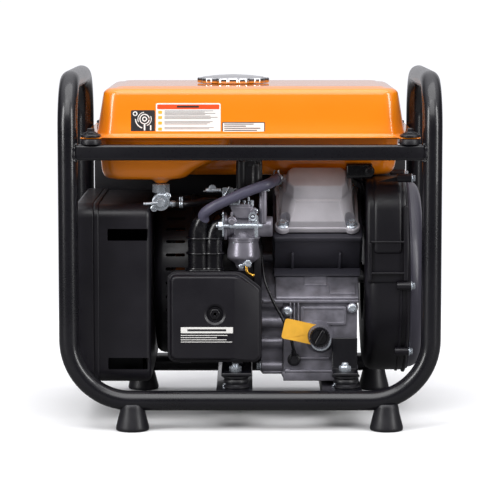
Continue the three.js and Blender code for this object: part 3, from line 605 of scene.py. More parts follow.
def grow(obj, tree, values):
    """Runs a tree on an object, with its inputs given by label, and bakes the result."""
    step = obj.modifiers.new(tree.name, "NODES")
    step.node_group = tree
    sockets = [item for item in tree.interface.items_tree if item.item_type == "SOCKET"]
    identifiers = {item.name: item.identifier for item in sockets if item.in_out == "INPUT"}
    for label, value in values.items():
        step[identifiers[label]] = value
    return bake(obj)


fasten_tree, given = new_tree(
    "fasteners_on_points", [("Fastener", "Object", None), ("Material", "Material", None), ("Seed", "Int", 3)]
)
axis_field = add(fasten_tree, "GeometryNodeInputNamedAttribute", {"Name": "axis"}, data_type="FLOAT_VECTOR")
size_field = add(fasten_tree, "GeometryNodeInputNamedAttribute", {"Name": "size"}, data_type="FLOAT")
aligned = add(
    fasten_tree, "FunctionNodeAlignRotationToVector", {"Vector": axis_field.outputs["Attribute"]}, axis="Z"
)
spin = add(fasten_tree, "FunctionNodeRandomValue", {"Seed": given["Seed"]}, data_type="FLOAT")
spin_about = add(fasten_tree, "ShaderNodeCombineXYZ", {"Z": spin.outputs[1]})
spun = add(
    fasten_tree,
    "FunctionNodeRotateRotation",
    {"Rotation": aligned.outputs["Rotation"], "Rotate By": spin_about.outputs["Vector"]},
    rotation_space="LOCAL",
)
model = add(fasten_tree, "GeometryNodeObjectInfo", {"Object": given["Fastener"], "As Instance": True})
placed = add(
    fasten_tree,
    "GeometryNodeInstanceOnPoints",
    {
        "Points": given["Geometry"],
        "Instance": model.outputs["Geometry"],
        "Rotation": spun.outputs["Rotation"],
        "Scale": size_field.outputs["Attribute"],
    },
)
end_tree(fasten_tree, placed.outputs["Instances"], given["Material"])


# %% Fastener models, each one millimetre across its head
def flange_bolt():
    """A hexagon head, chamfered, on its own washer face."""
    flange = turned("flange", "z", (0, 0), [(0.7, -0.02), (0.72, 0.06), (0.6, 0.16), (0.5, 0.2)], 20)
    hexagon = turned("hexagon", "z", (0, 0), [(0.5, 0.1), (0.5, 0.52), (0.43, 0.6), (0.3, 0.6), (0.26, 0.54)],
                     6)
    return grouped("flange_bolt", flange, hexagon)


def pan_screw():
    """A domed head with a cross recess."""
    head = turned("pan_head", "z", (0, 0), [(0.5, -0.02), (0.5, 0.14), (0.44, 0.26), (0.3, 0.34),
        (0.12, 0.37)], 20)
    bars = [moulded("bar", "z", (0.2, 0.6), a, b, 0.02, 0.01, 0.01, 1)
            for a, b in (((-0.28, 0.28), (-0.06, 0.06)), ((-0.06, 0.06), (-0.28, 0.28)))]
    return cut(head, *bars)


def hex_nut():
    """A nut with the stud's end standing out of it."""
    nut = turned("nut", "z", (0, 0), [(0.46, 0), (0.5, 0.05), (0.5, 0.38), (0.45, 0.44), (0.3, 0.44)], 6)
    stud = turned("stud", "z", (0, 0), [(0.28, 0.3), (0.28, 0.62), (0.22, 0.7)], 16)
    return grouped("hex_nut", nut, stud)


FASTENERS = {"bolt": flange_bolt(), "screw": pan_screw(), "nut": hex_nut()}


def fasten(name, kind, places, material=zinc, body="root"):
    """One piece of fasteners, from (point, axis, head size in mm) rows."""
    points = bpy.data.meshes.new(name)
    points.from_pydata([[c * MM for c in p] for p, _, _ in places], [], [])
    points.attributes.new("axis", "FLOAT_VECTOR", "POINT")
    points.attributes.new("size", "FLOAT", "POINT")
    for i, (_, direction, across) in enumerate(places):
        points.attributes["axis"].data[i].vector = direction
        points.attributes["size"].data[i].value = across
    obj = linked(name, points)
    grow(obj, fasten_tree, {"Fastener": FASTENERS[kind], "Material": material})
    return finished(obj, material, body)


FRONT, REAR, LEFT, RIGHT, UP, DOWN = (0, -1, 0), (0, 1, 0), (-1, 0, 0), (1, 0, 0), (0, 0, 1), (0, 0, -1)

# %% [markdown]
# ## The frame: one bent tube
# The frame starts as one 24 mm steel tube, bent eight times and welded to itself, so front loop,
# rear loop and handles run into each other without a joint. The CAD splits it where the crossbars
# meet; here it is a single closed sweep that replaces all four CAD tubes.
# %% Frame tube, crossbars and welds
TUBE_R, CORNER_R, HANDLE_R = 12.0, 74.0, 58.0
low, high = box_mm("front_frame_tube")
POST_X, LOOP_Y, RAIL_Z = high.x - TUBE_R, -low.y - TUBE_R, low.z + TUBE_R
HANDLE_Z = box_mm("left_handle_tube")[1].z - TUBE_R

one_side = [(-POST_X, -1, HANDLE_Z), (-POST_X, -1, RAIL_Z), (POST_X, -1, RAIL_Z), (POST_X, -1, HANDLE_Z)]
corners = [(x, y * LOOP_Y, z) for x, y, z in one_side] + [(x, -y * LOOP_Y, z) for x, y, z in one_side[::-1]]
radii = [HANDLE_R, CORNER_R, CORNER_R, HANDLE_R] * 2
frame_tube = tube("frame_tube", bent_path(corners, radii, closed=True, steps=18), TUBE_R, 36, closed=True)
finished(
    frame_tube, frame_coat,
    replaces=("front_frame_tube", "rear_frame_tube", "left_handle_tube", "right_handle_tube"),
)

WELD_R = 2.0
for row in ("front", "rear"):
    low, high = box_mm(f"{row}_crossbar")
    if row == "rear":  # the rear bar also carries two lugs for the guard, which widen its box
        low.y = LOOP_Y * 2 - high.y
    bar = moulded(f"{row}_bar", "x", (-POST_X + 8, POST_X - 8), (low.y, high.y), (low.z, high.z), 3.0, 0.5,
                  0.5, 2)
    if row == "rear":
        lugs = [moulded("lug", "y", (133.1, low.y + 1), (x - 9, x + 9), (low.z + 1, low.z + 13), 2, 0.4, 0.2,
                        2)
                for x in (-150, 150)]
        bar = grouped("rear_bar", bar, *lugs)
    finished(bar, frame_coat, replaces=(f"{row}_crossbar",))
    middle = (low.y + high.y) / 2
    beads = []
    for side in (-1, 1):
        around = rounded_rectangle((low.y, high.y), (low.z, high.z), 3.0, 5)
        seam = [Vector((side * (POST_X - math.sqrt(TUBE_R**2 - (y - middle) ** 2)), y, z)) for y, z in around]
        fine = smooth_path(seam + seam[:1], 4)[:-1]
        ripple = [WELD_R * (1 + 0.22 * math.sin(1.9 * i)) for i in range(len(fine))]
        beads.append(tube("bead", fine, ripple, 10, closed=True))
    finished(grouped(f"{row}_welds", *beads), frame_coat)
print("tube frame", [round(v * 1000) for v in frame_tube.dimensions], "mm")

# %% [markdown]
# ## Channels, feet and engine mounts
# Two pressed channels carry the engine on four waisted rubber blocks, and four rubber cones carry
# the frame. The channels and plates are flat-sided, so their CAD meshes are merged and their edges
# rolled. The rubbers are turned shapes with the bulge and lips that a mould leaves.
# %% Channels, plates, feet and rubber mounts
for node in ("left_mount_rail", "right_mount_rail", "left_engine_bracket",
             "right_engine_bracket_front", "right_engine_bracket_rear"):
    part = refined(node, node.replace("engine_", "") + "_sheet", 0.9)
    finished(part, frame_coat, replaces=(node,))

foot_screws = []
mount_nuts = []
for row in ("front", "rear"):
    for side in ("left", "right"):
        low, high = box_mm(f"foot_{row}_{side}")
        x, y, r = (low.x + high.x) / 2, (low.y + high.y) / 2, (high.x - low.x) / 2
        profile = [
            (5, 6), (8, 5.5), (9, 1), (10, 0), (r - 2.2, 0), (r - 0.5, 0.8), (r, 2.6), (r - 0.3, 5),
            (r - 2.6, 14), (r - 4.6, 22), (r - 5.7, 28), (r - 6.2, 31), (r - 7.4, 32.6), (r - 9, 33),
        ]
        foot = turned(f"foot_{row}_{side}_cone", "z", (x, y), profile, 44)
        finished(foot, rubber, replaces=(f"foot_{row}_{side}",))
        foot_screws.append(((x, y, 5.6), DOWN, 9.0))

        node = f"rubber_mount_{row}_{side}"
        low, high = box_mm(node)
        x, y, r = (low.x + high.x) / 2, (low.y + high.y) / 2, (high.x - low.x) / 2
        tall = high.z - low.z
        profile = [(r - 1.4, 0), (r, 0.8), (r, 2.6), (r - 1.2, 3.4), (r - 2.6, 4.8)]
        profile += [(r - 2.6 + 1.1 * math.sin(math.pi * t), 4.8 + (tall - 9.6) * t) for t in np.linspace(0.1,
            0.9, 7)]
        profile += [(r - 2.6, tall - 4.8), (r - 1.2, tall - 3.4), (r, tall - 2.6), (r, tall - 0.8),
                    (r - 1.4, tall)]
        block = turned(f"{node}_block", "z", (x, y), [(q, low.z + h) for q, h in profile], 36)
        finished(block, rubber, replaces=(node,))
        mount_nuts.append(((x - 1, y, box_mm("left_engine_bracket")[1].z), UP, 15.0))
        washer_y = y + (4 if y > 0 else -4)
        mount_nuts.append(((low.x + 4, washer_y, 46.0), UP, 8.0))
fasten("foot_screws", "screw", foot_screws)
fasten("mount_nuts", "nut", mount_nuts)

# %% [markdown]
# ## The tank's upper half: a pressing
# The tank is two deep-drawn halves seamed at a flange. A drawn wall never leaves its flange at a
# sharp corner: it rolls out with one radius and over into the top with another. So the wall is a
# stack of rounded rectangles whose insets follow two quarter arcs, with the crown of the top last.
# %% Tank upper shell, ears and filler neck
low, high = box_mm("tank_upper_shell")
FLANGE_Z = low.z
SHEET = 1.2
TOP_Z = 413.0
WALL = {"x": (-186.0, 188.0), "y": (-128.0, 128.0), "corner": 26.0}
DRAFT = 8.0 / 50.0  # how far the wall leans in for each mm of height
ROLL_OUT, ROLL_OVER = 4.0, 9.0


def tank_ring(inset, z, steps=9):
    (x0, x1), (y0, y1) = WALL["x"], WALL["y"]
    spans = (x0 + inset, x1 - inset), (y0 + inset, y1 - inset)
    return [(a, b, z) for a, b in rounded_rectangle(*spans, max(WALL["corner"] - inset * 0.6, 3), steps)]


quarter = np.linspace(0, math.pi / 2, 7)
foot_z = FLANGE_Z + SHEET
levels = [(-ROLL_OUT * (1 - math.sin(t)), foot_z + ROLL_OUT * (1 - math.cos(t))) for t in quarter]
wall_top = TOP_Z - ROLL_OVER
lean = DRAFT * (wall_top - foot_z)
levels += [(DRAFT * (z - foot_z), z) for z in np.linspace(foot_z + ROLL_OUT + 4, wall_top - 3, 4)]
levels += [
    (lean + ROLL_OVER * 1.2 * (1 - math.cos(t)),
     wall_top - 1.2 + (ROLL_OVER - 0.6) * math.sin(t)) for t in quarter
]
levels += [(lean + 16, TOP_Z - 1.3), (lean + 19, TOP_Z - 0.3), (lean + 24, TOP_Z), (lean + 60, TOP_Z)]
wall = skin("tank_wall", [tank_ring(*level) for level in levels])
flange = moulded(
    "tank_flange", "z", (FLANGE_Z - 0.3, foot_z + 0.2), (-203, 204), (-146, 146), 17, 0.6, 0.6, 3
)
ears = []
for x in (-190, 191):
    for y in (-1, 1):
        span = sorted((y * 140, y * 159.8))
        ears.append(moulded("ear", "z", (FLANGE_Z - 0.3, foot_z + 0.2), (x - 13, x + 13), span, 6.5, 0.5, 0.5,
                            2))
FILLER = (-21.0, 0.0)
neck_profile = [(27.5, TOP_Z - 2), (26.6, TOP_Z + 1.5), (26.6, 417.5), (25.8, 418), (24.2, 418), (24, 417),
                (24, TOP_Z)]
neck = turned("filler_neck", "z", FILLER, neck_profile, 48)
finished(
    grouped("tank_top_pressing", wall, flange, *ears, neck), tank_enamel,
    replaces=("tank_upper_shell",), angle=50,
)

# %% [markdown]
# ## The tank's lower half: a sump and a floor in one sheet
# The lower pressing has a deep sump at the left, over the fuel valve, and steps up over the
# cylinder head. Two lofts give the two depths. They are joined, rebuilt as a fine even grid with
# Remesh and relaxed with Smooth, which rolls the step between them the way a press tool does.
# %% Tank lower shell
rim_z = box_mm("tank_lower_shell")[1].z
floor_levels = [  # inset from the widest level, height
    (16, 300.6), (13, 301.2), (9.5, 303.4), (7, 307), (5.4, 312), (3, 328), (0.5, rim_z)
]
sump_levels = [
    (14, 300.2), (11, 300.9), (7.5, 303), (5, 307), (3.8, 312), (2, 330), (0, rim_z)
]
floor_rings = [
    [(a, b, z) for a, b in rounded_rectangle((-184 + d, 186 - d), (-58 + d, 127 - d), 22, 8)]
    for d, z in floor_levels
]
sump_right = [-86, -82, -77, -72, -66, -30, -22]
sump_rings = [
    [(a, b, z) for a, b in rounded_rectangle((-184 + d, right), (-126 + d, 50), 20, 8)]
    for (d, z), right in zip(sump_levels, sump_right)
]
valve_low, valve_high = box_mm("fuel_valve_body")
VALVE_X, VALVE_Y = valve_low.x + 11.0, valve_high.y - 7.0
boss = turned("sump_boss", "z", (VALVE_X, VALVE_Y), [(7, valve_high.z + 0.3), (8.5, 297.5), (13, 300.5),
    (15, 306)], 32)
under = fused(skin("tank_floor", floor_rings), skin("tank_sump", sump_rings), boss)
remesh = under.modifiers.new("even_grid", "REMESH")
remesh.mode = "VOXEL"
remesh.voxel_size = 2.6 * MM
relax = under.modifiers.new("relaxed", "SMOOTH")
relax.factor = 0.5
relax.iterations = 7
bake(under)
seam = moulded("seam_plate", "z", (rim_z - SHEET, rim_z), (-200, 201), (-140, 140), 15, 0.5, 0.5, 2)
pressing = grouped("tank_bottom_pressing", under, seam)
finished(pressing, tank_enamel, replaces=("tank_lower_shell",), angle=50)
print("lower pressing faces:", len(pressing.data.polygons))

# %% [markdown]
# ## Tank fixings
# Each ear stands on the crossbar through a two-part rubber grommet, held by a flanged bolt and a
# washer. The rubber keeps engine buzz out of the tank, and its dark collar breaks up the orange.
# %% Grommets, washers and bolts
bar_top = box_mm("front_crossbar")[1].z
grommets, washers, tank_bolts = [], [], []
for x in (-190, 191):
    for y in (-LOOP_Y, LOOP_Y):
        lower = [(10, bar_top), (12.4, bar_top + 0.8), (12.6, bar_top + 4), (11.6, FLANGE_Z - 0.9),
                 (9, FLANGE_Z - 0.4)]
        upper = [(10, foot_z), (12.2, foot_z + 0.7), (12.2, foot_z + 2.8), (11, foot_z + 3.9),
                 (6, foot_z + 4)]
        grommets.append(turned("lower", "z", (x, y), lower, 32))
        grommets.append(turned("upper", "z", (x, y), upper, 32))
        washers.append(turned("washer", "z", (x, y), [(8.6, foot_z + 4), (9, foot_z + 4.3), (9, foot_z + 5.2),
            (8.4, foot_z + 5.5)], 28))
        tank_bolts.append(((x, y, foot_z + 5.5), UP, 9.0))
finished(grouped("tank_grommets", *grommets), rubber)
finished(grouped("tank_washers", *washers), sheet_black)
fasten("tank_bolts", "bolt", tank_bolts, sheet_black)

# %% [markdown]
# ## The fuel cap
# A chromed cap with ten finger lobes. The lobes are the one thing that repeats round it, so the
# ring of the rim is a radius that swings ten times a turn, flattened so that each lobe has a
# broad face and a narrow valley. The dome above it has a raised ring and a vent button.
# %% Fuel cap
cap_low, cap_high = box_mm("fuel_cap")
CAP_R = (cap_high.x - cap_low.x) / 2
LOBES, LOBE_DEPTH = 10, 4.2


def lobed_ring(shrink, z, sides=192):
    ring = []
    for i in range(sides):
        t = 2 * math.pi * i / sides
        wave = 0.5 + 0.5 * math.tanh(2.2 * math.cos(LOBES * t)) / math.tanh(2.2)
        r = CAP_R - shrink - LOBE_DEPTH * (1 - wave)
        ring.append((FILLER[0] + r * math.cos(t), FILLER[1] + r * math.sin(t), z))
    return ring


def round_ring(r, z, sides=192):
    turns = [2 * math.pi * i / sides for i in range(sides)]
    return [(FILLER[0] + r * math.cos(t), FILLER[1] + r * math.sin(t), z) for t in turns]


rim_top = cap_low.z + 6.6
rings = [round_ring(27.5, cap_low.z + 4), round_ring(27.5, cap_low.z + 0.2), lobed_ring(1.6, cap_low.z)]
rings += [lobed_ring(0.5, cap_low.z + 0.4), lobed_ring(0, cap_low.z + 1.4), lobed_ring(0, rim_top - 1.6)]
rings += [lobed_ring(0.3, rim_top - 0.7), lobed_ring(1.2, rim_top - 0.1), lobed_ring(2.6, rim_top)]
dome = [(38.5, 0.3), (37.4, 0.9), (36, 1.1), (34.6, 0.9), (33.6, 0.8), (31, 1.5), (26, 2.3), (19, 2.9),
        (11, 3.2)]
dome += [(10, 3.25), (9.4, 2.9), (8.6, 2.9), (8, 3.35), (2, 3.9)]
rings += [round_ring(r, rim_top + h) for r, h in dome]
fuel_cap = skin("fuel_cap_shell", rings)
finished(fuel_cap, chrome, "fuel_cap", ("fuel_cap",), angle=45)

# %% [markdown]
# ## Printed plates on the tank
# Three vinyl plates sit on the leaning front wall: a black one that shows which way the valve lever
# turns, a white one with a coloured header, and a small data plate. Real words are left out, and
# plain bars stand where lines of print would be. A plate is a thin rounded sheet laid on the wall.
# %% Plates and the lever's symbol
FILM = 0.35


def on_wall(x, z, lift):
    """A point on the tank's front wall, lifted off it by some mm."""
    return (x, WALL["y"][0] + DRAFT * (z - foot_z) - lift, z)


def film(name, x, z, radius, lift=0.0, thick=FILM, steps=4):
    outline = rounded_rectangle(x, z, radius, steps)
    rings = [[on_wall(a, b, h) for a, b in outline] for h in (lift - 0.2, lift + thick)]
    return skin(name, rings)


def film_band(name, centre, r_in, r_out, start, end, lift, steps=28):
    """A printed arc band about a centre, between two angles in degrees."""
    rings = []
    for i in range(steps + 1):
        t = math.radians(start + (end - start) * i / steps)
        edge = [(r, h) for r in (r_in, r_out) for h in (lift, lift + 0.15)]
        corners_at = [edge[0], edge[1], edge[3], edge[2]]
        rings.append([on_wall(centre[0] + r * math.cos(t), centre[1] + r * math.sin(t), h)
                      for r, h in corners_at])
    return skin(name, rings)


PLATES = {"symbol": ((-143.4, -114.6), (358.8, 385.2)), "notice": ((-113.4, -35.4), (357, 393.6)),
          "data": ((-33.6, 18.0), (358.6, 371))}
finished(film("symbol_plate", *PLATES["symbol"], 1.6), film_black)
finished(film("notice_plate", *PLATES["notice"], 2.0), film_white)
finished(film("data_plate_edge", *PLATES["data"], 1.4), film_black)
(x0, x1), (z0, z1) = PLATES["data"]
finished(film("data_plate", (x0 + 1, x1 - 1), (z0 + 1, z1 - 1), 0.8, FILM, 0.15), film_white)
(x0, x1), (z0, z1) = PLATES["notice"]
finished(film("notice_header", (x0 + 1.6, x1 - 1.6), (z1 - 7.2, z1 - 1.6), 0.9, FILM, 0.15), film_red)

dial = (-127.0, 374.6)
marks = [film_band("dial_ring", dial, 5.0, 6.2, 0, 360, FILM), film_band("dial_hub", dial, 1.7, 3.0, 0, 360,
    FILM)]
marks += [film_band("sweep", dial, 10.2, 11.5, 180, 255, FILM)]
marks += [film_band("valve_outline", dial, 7.6, 8.5, 95, 205, FILM), film_band("valve_outline", dial, 7.6,
    8.5, -70, 25, FILM)]
marks += [film("lever_mark", (dial[0] - 0.9, dial[0] + 0.9), (361.0, 369.4), 0.3, FILM, 0.15)]
marks += [film_band("off_ring", (-138.4, 381.0), 1.6, 2.8, 0, 360, FILM)]
marks += [film("on_bar", (-120.4, -118.8), (361.2, 367.2), 0.3, FILM, 0.15)]
finished(grouped("symbol_marks", *marks), film_white)

# %% [markdown]
# ## Geometry Nodes: lines of print
# A block of small print is read as grey lines of uneven length long before it is read as words. The
# tree lays a column of points down a plate, puts a thin bar on each, and scales each bar's length by
# a seeded random number. It leans the column with the wall it is printed on.
# %% The print tree
print_tree, given = new_tree(
    "lines_of_print",
    [("Lines", "Int", 5), ("Pitch", "Float", 0.002), ("Longest", "Float", 0.05), ("Shortest", "Float", 0.03),
     ("Bar height", "Float", 0.0006), ("Lean", "Float", 0.0), ("Corner", "Vector", None), ("Seed", "Int", 1),
     ("Material", "Material", None)],
)
step_down = add(
    print_tree, "ShaderNodeMath", {0: given["Pitch"], 1: -1.0}, operation="MULTIPLY"
)
offset = add(print_tree, "ShaderNodeCombineXYZ", {"Z": step_down.outputs[0]})
column = add(print_tree, "GeometryNodeMeshLine", {"Count": given["Lines"],
    "Offset": offset.outputs["Vector"]})
length = add(
    print_tree, "FunctionNodeRandomValue",
    {2: given["Shortest"], 3: given["Longest"], "Seed": given["Seed"]}, data_type="FLOAT",
)
bar_size = add(print_tree, "ShaderNodeCombineXYZ", {"X": 1.0, "Y": 0.00015, "Z": given["Bar height"]})
bar = add(print_tree, "GeometryNodeMeshCube", {"Size": bar_size.outputs["Vector"]})
bar_left = add(
    print_tree, "GeometryNodeTransform", {"Geometry": bar.outputs["Mesh"], "Translation": (0.5, 0, 0)}
)
bar_scale = add(print_tree, "ShaderNodeCombineXYZ", {"X": length.outputs[1], "Y": 1.0, "Z": 1.0})
bars = add(
    print_tree, "GeometryNodeInstanceOnPoints",
    {"Points": column.outputs["Mesh"], "Instance": bar_left.outputs["Geometry"],
     "Scale": bar_scale.outputs["Vector"]},
)
leaning = add(print_tree, "ShaderNodeCombineXYZ", {"X": given["Lean"]})
laid = add(
    print_tree, "GeometryNodeTransform",
    {"Geometry": bars.outputs["Instances"], "Rotation": leaning.outputs["Vector"],
     "Translation": given["Corner"]},
)
end_tree(print_tree, laid.outputs["Geometry"], given["Material"])


def printed_lines(name, corner, lines, pitch, lengths, height, material, seed, lean=0.0):
    """Lines of print from an upper left corner in mm."""
    start = linked(name, bpy.data.meshes.new(name))
    grow(start, print_tree, {
        "Lines": lines, "Pitch": pitch * MM, "Shortest": lengths[0] * MM, "Longest": lengths[1] * MM,
        "Bar height": height * MM, "Lean": lean, "Corner": [c * MM for c in corner], "Seed": seed,
        "Material": material,
    })
    return finished(start, material)


WALL_LEAN = -math.atan(DRAFT)
blocks = [(4, 0, 384.4), (3, 1, 378.2), (3, 2, 371.6), (2, 3, 364.4)]
for count, k, z in blocks:
    corner = on_wall(-103, z, FILM + 0.05)
    printed_lines(f"notice_print_{k}", corner, count, 1.5, (46, 64), 0.8, film_grey, 4 + k,
                  WALL_LEAN)
yellow = [film("mark", (-110.6, -106), (z - 3.6, z), 0.8, FILM, 0.15) for _, _, z in blocks]
finished(grouped("notice_marks", *yellow), film_yellow)
printed_lines("data_print", on_wall(-31, 368.6, FILM + 0.2), 4, 2.5, (26, 44), 1.0, film_black,
              9, WALL_LEAN)
printed_lines("header_print", on_wall(-88, 389.4, FILM + 0.2), 1, 2, (26, 28), 2.2, film_black,
              2, WALL_LEAN)

# %% [markdown]
# ## The crankcase
# A die casting is never a plain box: it has ribs that stiffen its walls, pads that are machined, and
# bosses wherever a bolt goes in. The CAD body keeps its bearings and cavity, so its mesh is copied
# with rolled edges, and the castings that stand on its front wall are added to it.
# %% Crankcase, its pads, ribs and bosses
CRANK = (20.0, 170.0)  # the shaft's line, in Y and Z
OIL_X, OIL_Z = 85.0, 108.0
RIM_AT = (OIL_X + 1.4, OIL_Z - 5.6)


def slope_point(share, lift):
    """A point [y, z] on the leaning deck above the front wall, lifted off it by some mm."""
    start, end = Vector((-87.0, 153.5)), Vector((-49.0, 182.5))
    along = (end - start).normalized()
    return start.lerp(end, share) + Vector((-along.y, along.x)) * lift


deck_outline = [slope_point(0, 0), slope_point(1, 0), (-42, 181), (-42, 150), (-87.5, 150)]
pad_outline = [slope_point(0.42, 1.3), slope_point(0.74, 1.3), slope_point(0.74, -2), slope_point(0.42, -2)]
casting = [
    refined("crankcase", "case", 1.6),
    prism("deck", "x", deck_outline, (31.5, 134.3), 1.4),
    prism("deck_pad", "x", pad_outline, (67, 95), 0.7),
    prism("deck_pad_left", "x", [slope_point(0.1, 1.2), slope_point(0.5, 1.2), slope_point(0.5, -2),
    slope_point(0.1, -2)],
          (98, 130), 0.7),
    moulded("ledge", "z", (146.6, 150.4), (15, 134.3), (-90.5, -70), 2, 0.9, 0.9, 2),
    moulded("sump_ledge", "z", (60, 63.4), (42, 131), (-92.5, -70), 2, 0.9, 0.9, 2),
    moulded("drain_ledge", "z", (76.4, 79), (60, 98), (-88.4, -70), 1.2, 0.6, 0.6, 2),
    turned("oil_neck", "y", (OIL_X, OIL_Z), [(9.5, -112), (13.2, -111.8), (13.6, -110.6), (13.6, -106),
    (12.4, -104.5),
           (13, -96), (16, -88), (20, -84)], 48),
    turned("oil_neck_foot", "y", RIM_AT, [(11.4, -108.6), (12.6, -108.2), (13, -106), (14, -94), (19, -84)],
           48),
    turned("drain_boss", "y", (54.3, 76), [(6, -88.2), (7.4, -87.6), (8, -84)], 32),
]
frame_pad = moulded("pad", "y", (-88.2, -80), (62, 119), (118.5, 142), 3, 1.2, 0.6, 3)
casting.append(cut(frame_pad, moulded("recess", "y", (-89, -87), (65, 116), (121.5, 139), 2.4, 0.2, 0.6, 2)))
for x in (48.6, 53.4, 58.4):
    casting.append(moulded("rib", "y", (-90.4, -80), (x, x + 2.2), (113 + (x - 48) * 0.3, 147), 0.8, 1.0, 0.4,
                           2))
for x, z in ((46, 136), (126, 140), (126, 66), (46, 58), (108, 84)):
    casting.append(turned("boss", "y", (x, z), [(3, -90.6), (6, -90.4), (6.6, -89.6), (7.4, -80)], 28))
for z in (84, 96):
    casting.append(moulded("web", "y", (-87.6, -80), (104, 131), (z, z + 2), 0.8, 0.8, 0.4, 2))
finished(grouped("crankcase_casting", *casting), raw_cast, replaces=("crankcase",))

cover_parts = [refined("crankcase_side_cover", "side_casting", 1.6)]
for y, z in ((-78, 66), (-80, 96), (-81, 122), (-80, 146), (-20, 196), (92, 150), (92, 90), (30, 60)):
    cover_parts.append(turned("lug", "x", (y, z), [(4, 13.4), (6.6, 13.6), (7.2, 15), (7.4, 39.6),
        (6.6, 40.4)], 28))
for y in (-50, -20, 46, 72):
    cover_parts.append(moulded("rib", "x", (12.6, 20), (y, y + 2.4), (66, 128), 0.8, 1.0, 0.4, 2))
cover_parts.append(moulded("foot_ledge", "z", (57.4, 61), (15, 41), (-84, -60), 2, 0.9, 0.9, 2))
finished(grouped("side_cover_casting", *cover_parts), raw_cast,
         replaces=("crankcase_side_cover",))

case_bolts = [((13.2, y, z), LEFT, 8.5) for y, z in ((-78, 66), (-80, 96), (-81, 122), (-80, 146), (92, 150),
    (92, 90))]
case_bolts += [((x, -90.6, z), FRONT, 7.5) for x, z in ((46, 136), (126, 140), (126, 66))]
fasten("crankcase_bolts", "bolt", case_bolts)
fasten("drain_bolt", "bolt", [((54.3, -88, 76), FRONT, 11.5)], sheet_black)

# %% [markdown]
# ## Oil filler: neck ring, cap and tag
# The dipstick cap screws into a neck with a bright machined rim. A yellow reminder tag hangs on the
# neck behind it, slightly bowed, as a punched plastic tag does once it has been bent over the cap.
# %% Oil cap and tag
cap_low, cap_high = box_mm("oil_filler_cap")
cap_face = cap_low.y
disc = turned(
    "disc", "y", (OIL_X, OIL_Z),
    [(8.6, cap_face + 5.2), (9.4, cap_face + 4.2), (11.4, cap_face + 4.6), (12, cap_face + 6),
     (12, cap_high.y - 0.8), (11.2, cap_high.y)],
    48,
)
grip_bar = moulded("grip", "y", (cap_face, cap_face + 8), (-10, 10), (-2.6, 2.6), 2.2, 1.2, 0.2, 3)
turn_to_cap = Matrix.Translation(Vector((OIL_X, 0, OIL_Z)) * MM) @ Matrix.Rotation(math.radians(-62), 4, "Y")
grip_bar.data.transform(turn_to_cap)
knurls = [
    moulded("knurl", "y", (cap_face + 5.4, cap_high.y - 0.6), (a - 0.7, a + 0.7), (b - 0.7, b + 0.7), 0.5,
            0.3, 0.3, 1)
    for a, b in ((OIL_X + 11.9 * math.cos(t), OIL_Z + 11.9 * math.sin(t)) for t in np.linspace(0, 2 * math.pi,
    25)[:-1])
]
finished(grouped("oil_cap_shell", disc, grip_bar, *knurls), gloss_black, "oil_cap",
         ("oil_filler_cap",))

rim = turned("oil_neck_rim", "y", RIM_AT, [(10.4, -109.9), (12.2, -109.9), (12.8, -109.2), (12.8, -107),
    (10.4, -106.6)], 48, closed=True)
finished(rim, zinc)

TAG_TURN = math.radians(13)
tag_rings = []
outline = rounded_rectangle((-45.5, 1.5), (-12.6, 12.6), 3.4, 6)
for thick in (0.0, 0.9):
    ring = []
    for a, b in outline:
        x = OIL_X + a * math.cos(TAG_TURN) + b * math.sin(TAG_TURN)
        z = OIL_Z - a * math.sin(TAG_TURN) + b * math.cos(TAG_TURN)
        ring.append((x, -105.6 - thick, z))
    tag_rings.append(ring)
tag = skin("dipstick_tag", tag_rings)
hole = turned("hole", "y", (OIL_X, OIL_Z), [(14.4, -110), (14.4, -98)], 40)
tag = cut(tag, hole)
cells = bmesh.new()
cells.from_mesh(tag.data)
bmesh.ops.triangulate(cells, faces=cells.faces)
bmesh.ops.subdivide_edges(cells, edges=[e for e in cells.edges if e.calc_length() > 5 * MM], cuts=4)
for vertex in cells.verts:  # the free end bows forward
    reach = max(0.0, (OIL_X - 14) - vertex.co.x / MM) / 30
    vertex.co.y -= 3.4 * MM * reach**2
cells.to_mesh(tag.data)
cells.free()
finished(tag, yellow_tag)

# %% [markdown]
# ## The oil sensor's lead
# A thin black lead drops from behind the carburettor, passes behind the tag and ends at the oil
# level sensor beside the drain bolt.
# %% Sensor lead
lead_points = [(14, -62, 214), (15, -72, 196), (19, -86, 172), (29, -94, 148), (40, -99, 128), (49, -98, 108),
               (53, -95, 92), (54.2, -91.5, 84)]
lead = tube("oil_sensor_lead", smooth_path(lead_points, 8), 1.8, 12)
boot = tube("boot", [Vector((53.4, -93.4, 88)), Vector((54.2, -91, 81.5))], [2.9, 3.6], 16)
finished(grouped("oil_sensor_wiring", lead, boot), gloss_black)

# %% [markdown]
# ## The tilted cylinder and its shroud
# The cylinder leans forward, so its parts are modelled upright in their own axes and turned once at
# the end: x along the crankshaft, v across the cylinder, w along it from the crankshaft.
# %% Shroud and cylinder axes
TILT = math.radians(50)
across = Vector((0, math.sin(TILT), math.cos(TILT)))
along = Vector((0, -math.cos(TILT), math.sin(TILT)))
TO_ENGINE = Matrix.Translation(Vector((0, *CRANK)) * MM) @ Matrix((
    (1, 0, 0, 0), (0, across.y, along.y, 0), (0, across.z, along.z, 0), (0, 0, 0, 1),
))


def tilted(obj):
    obj.data.transform(TO_ENGINE)
    return obj


def engine_point(x, v, w):
    return tuple(Vector((x, *CRANK)) + across * v + along * w)


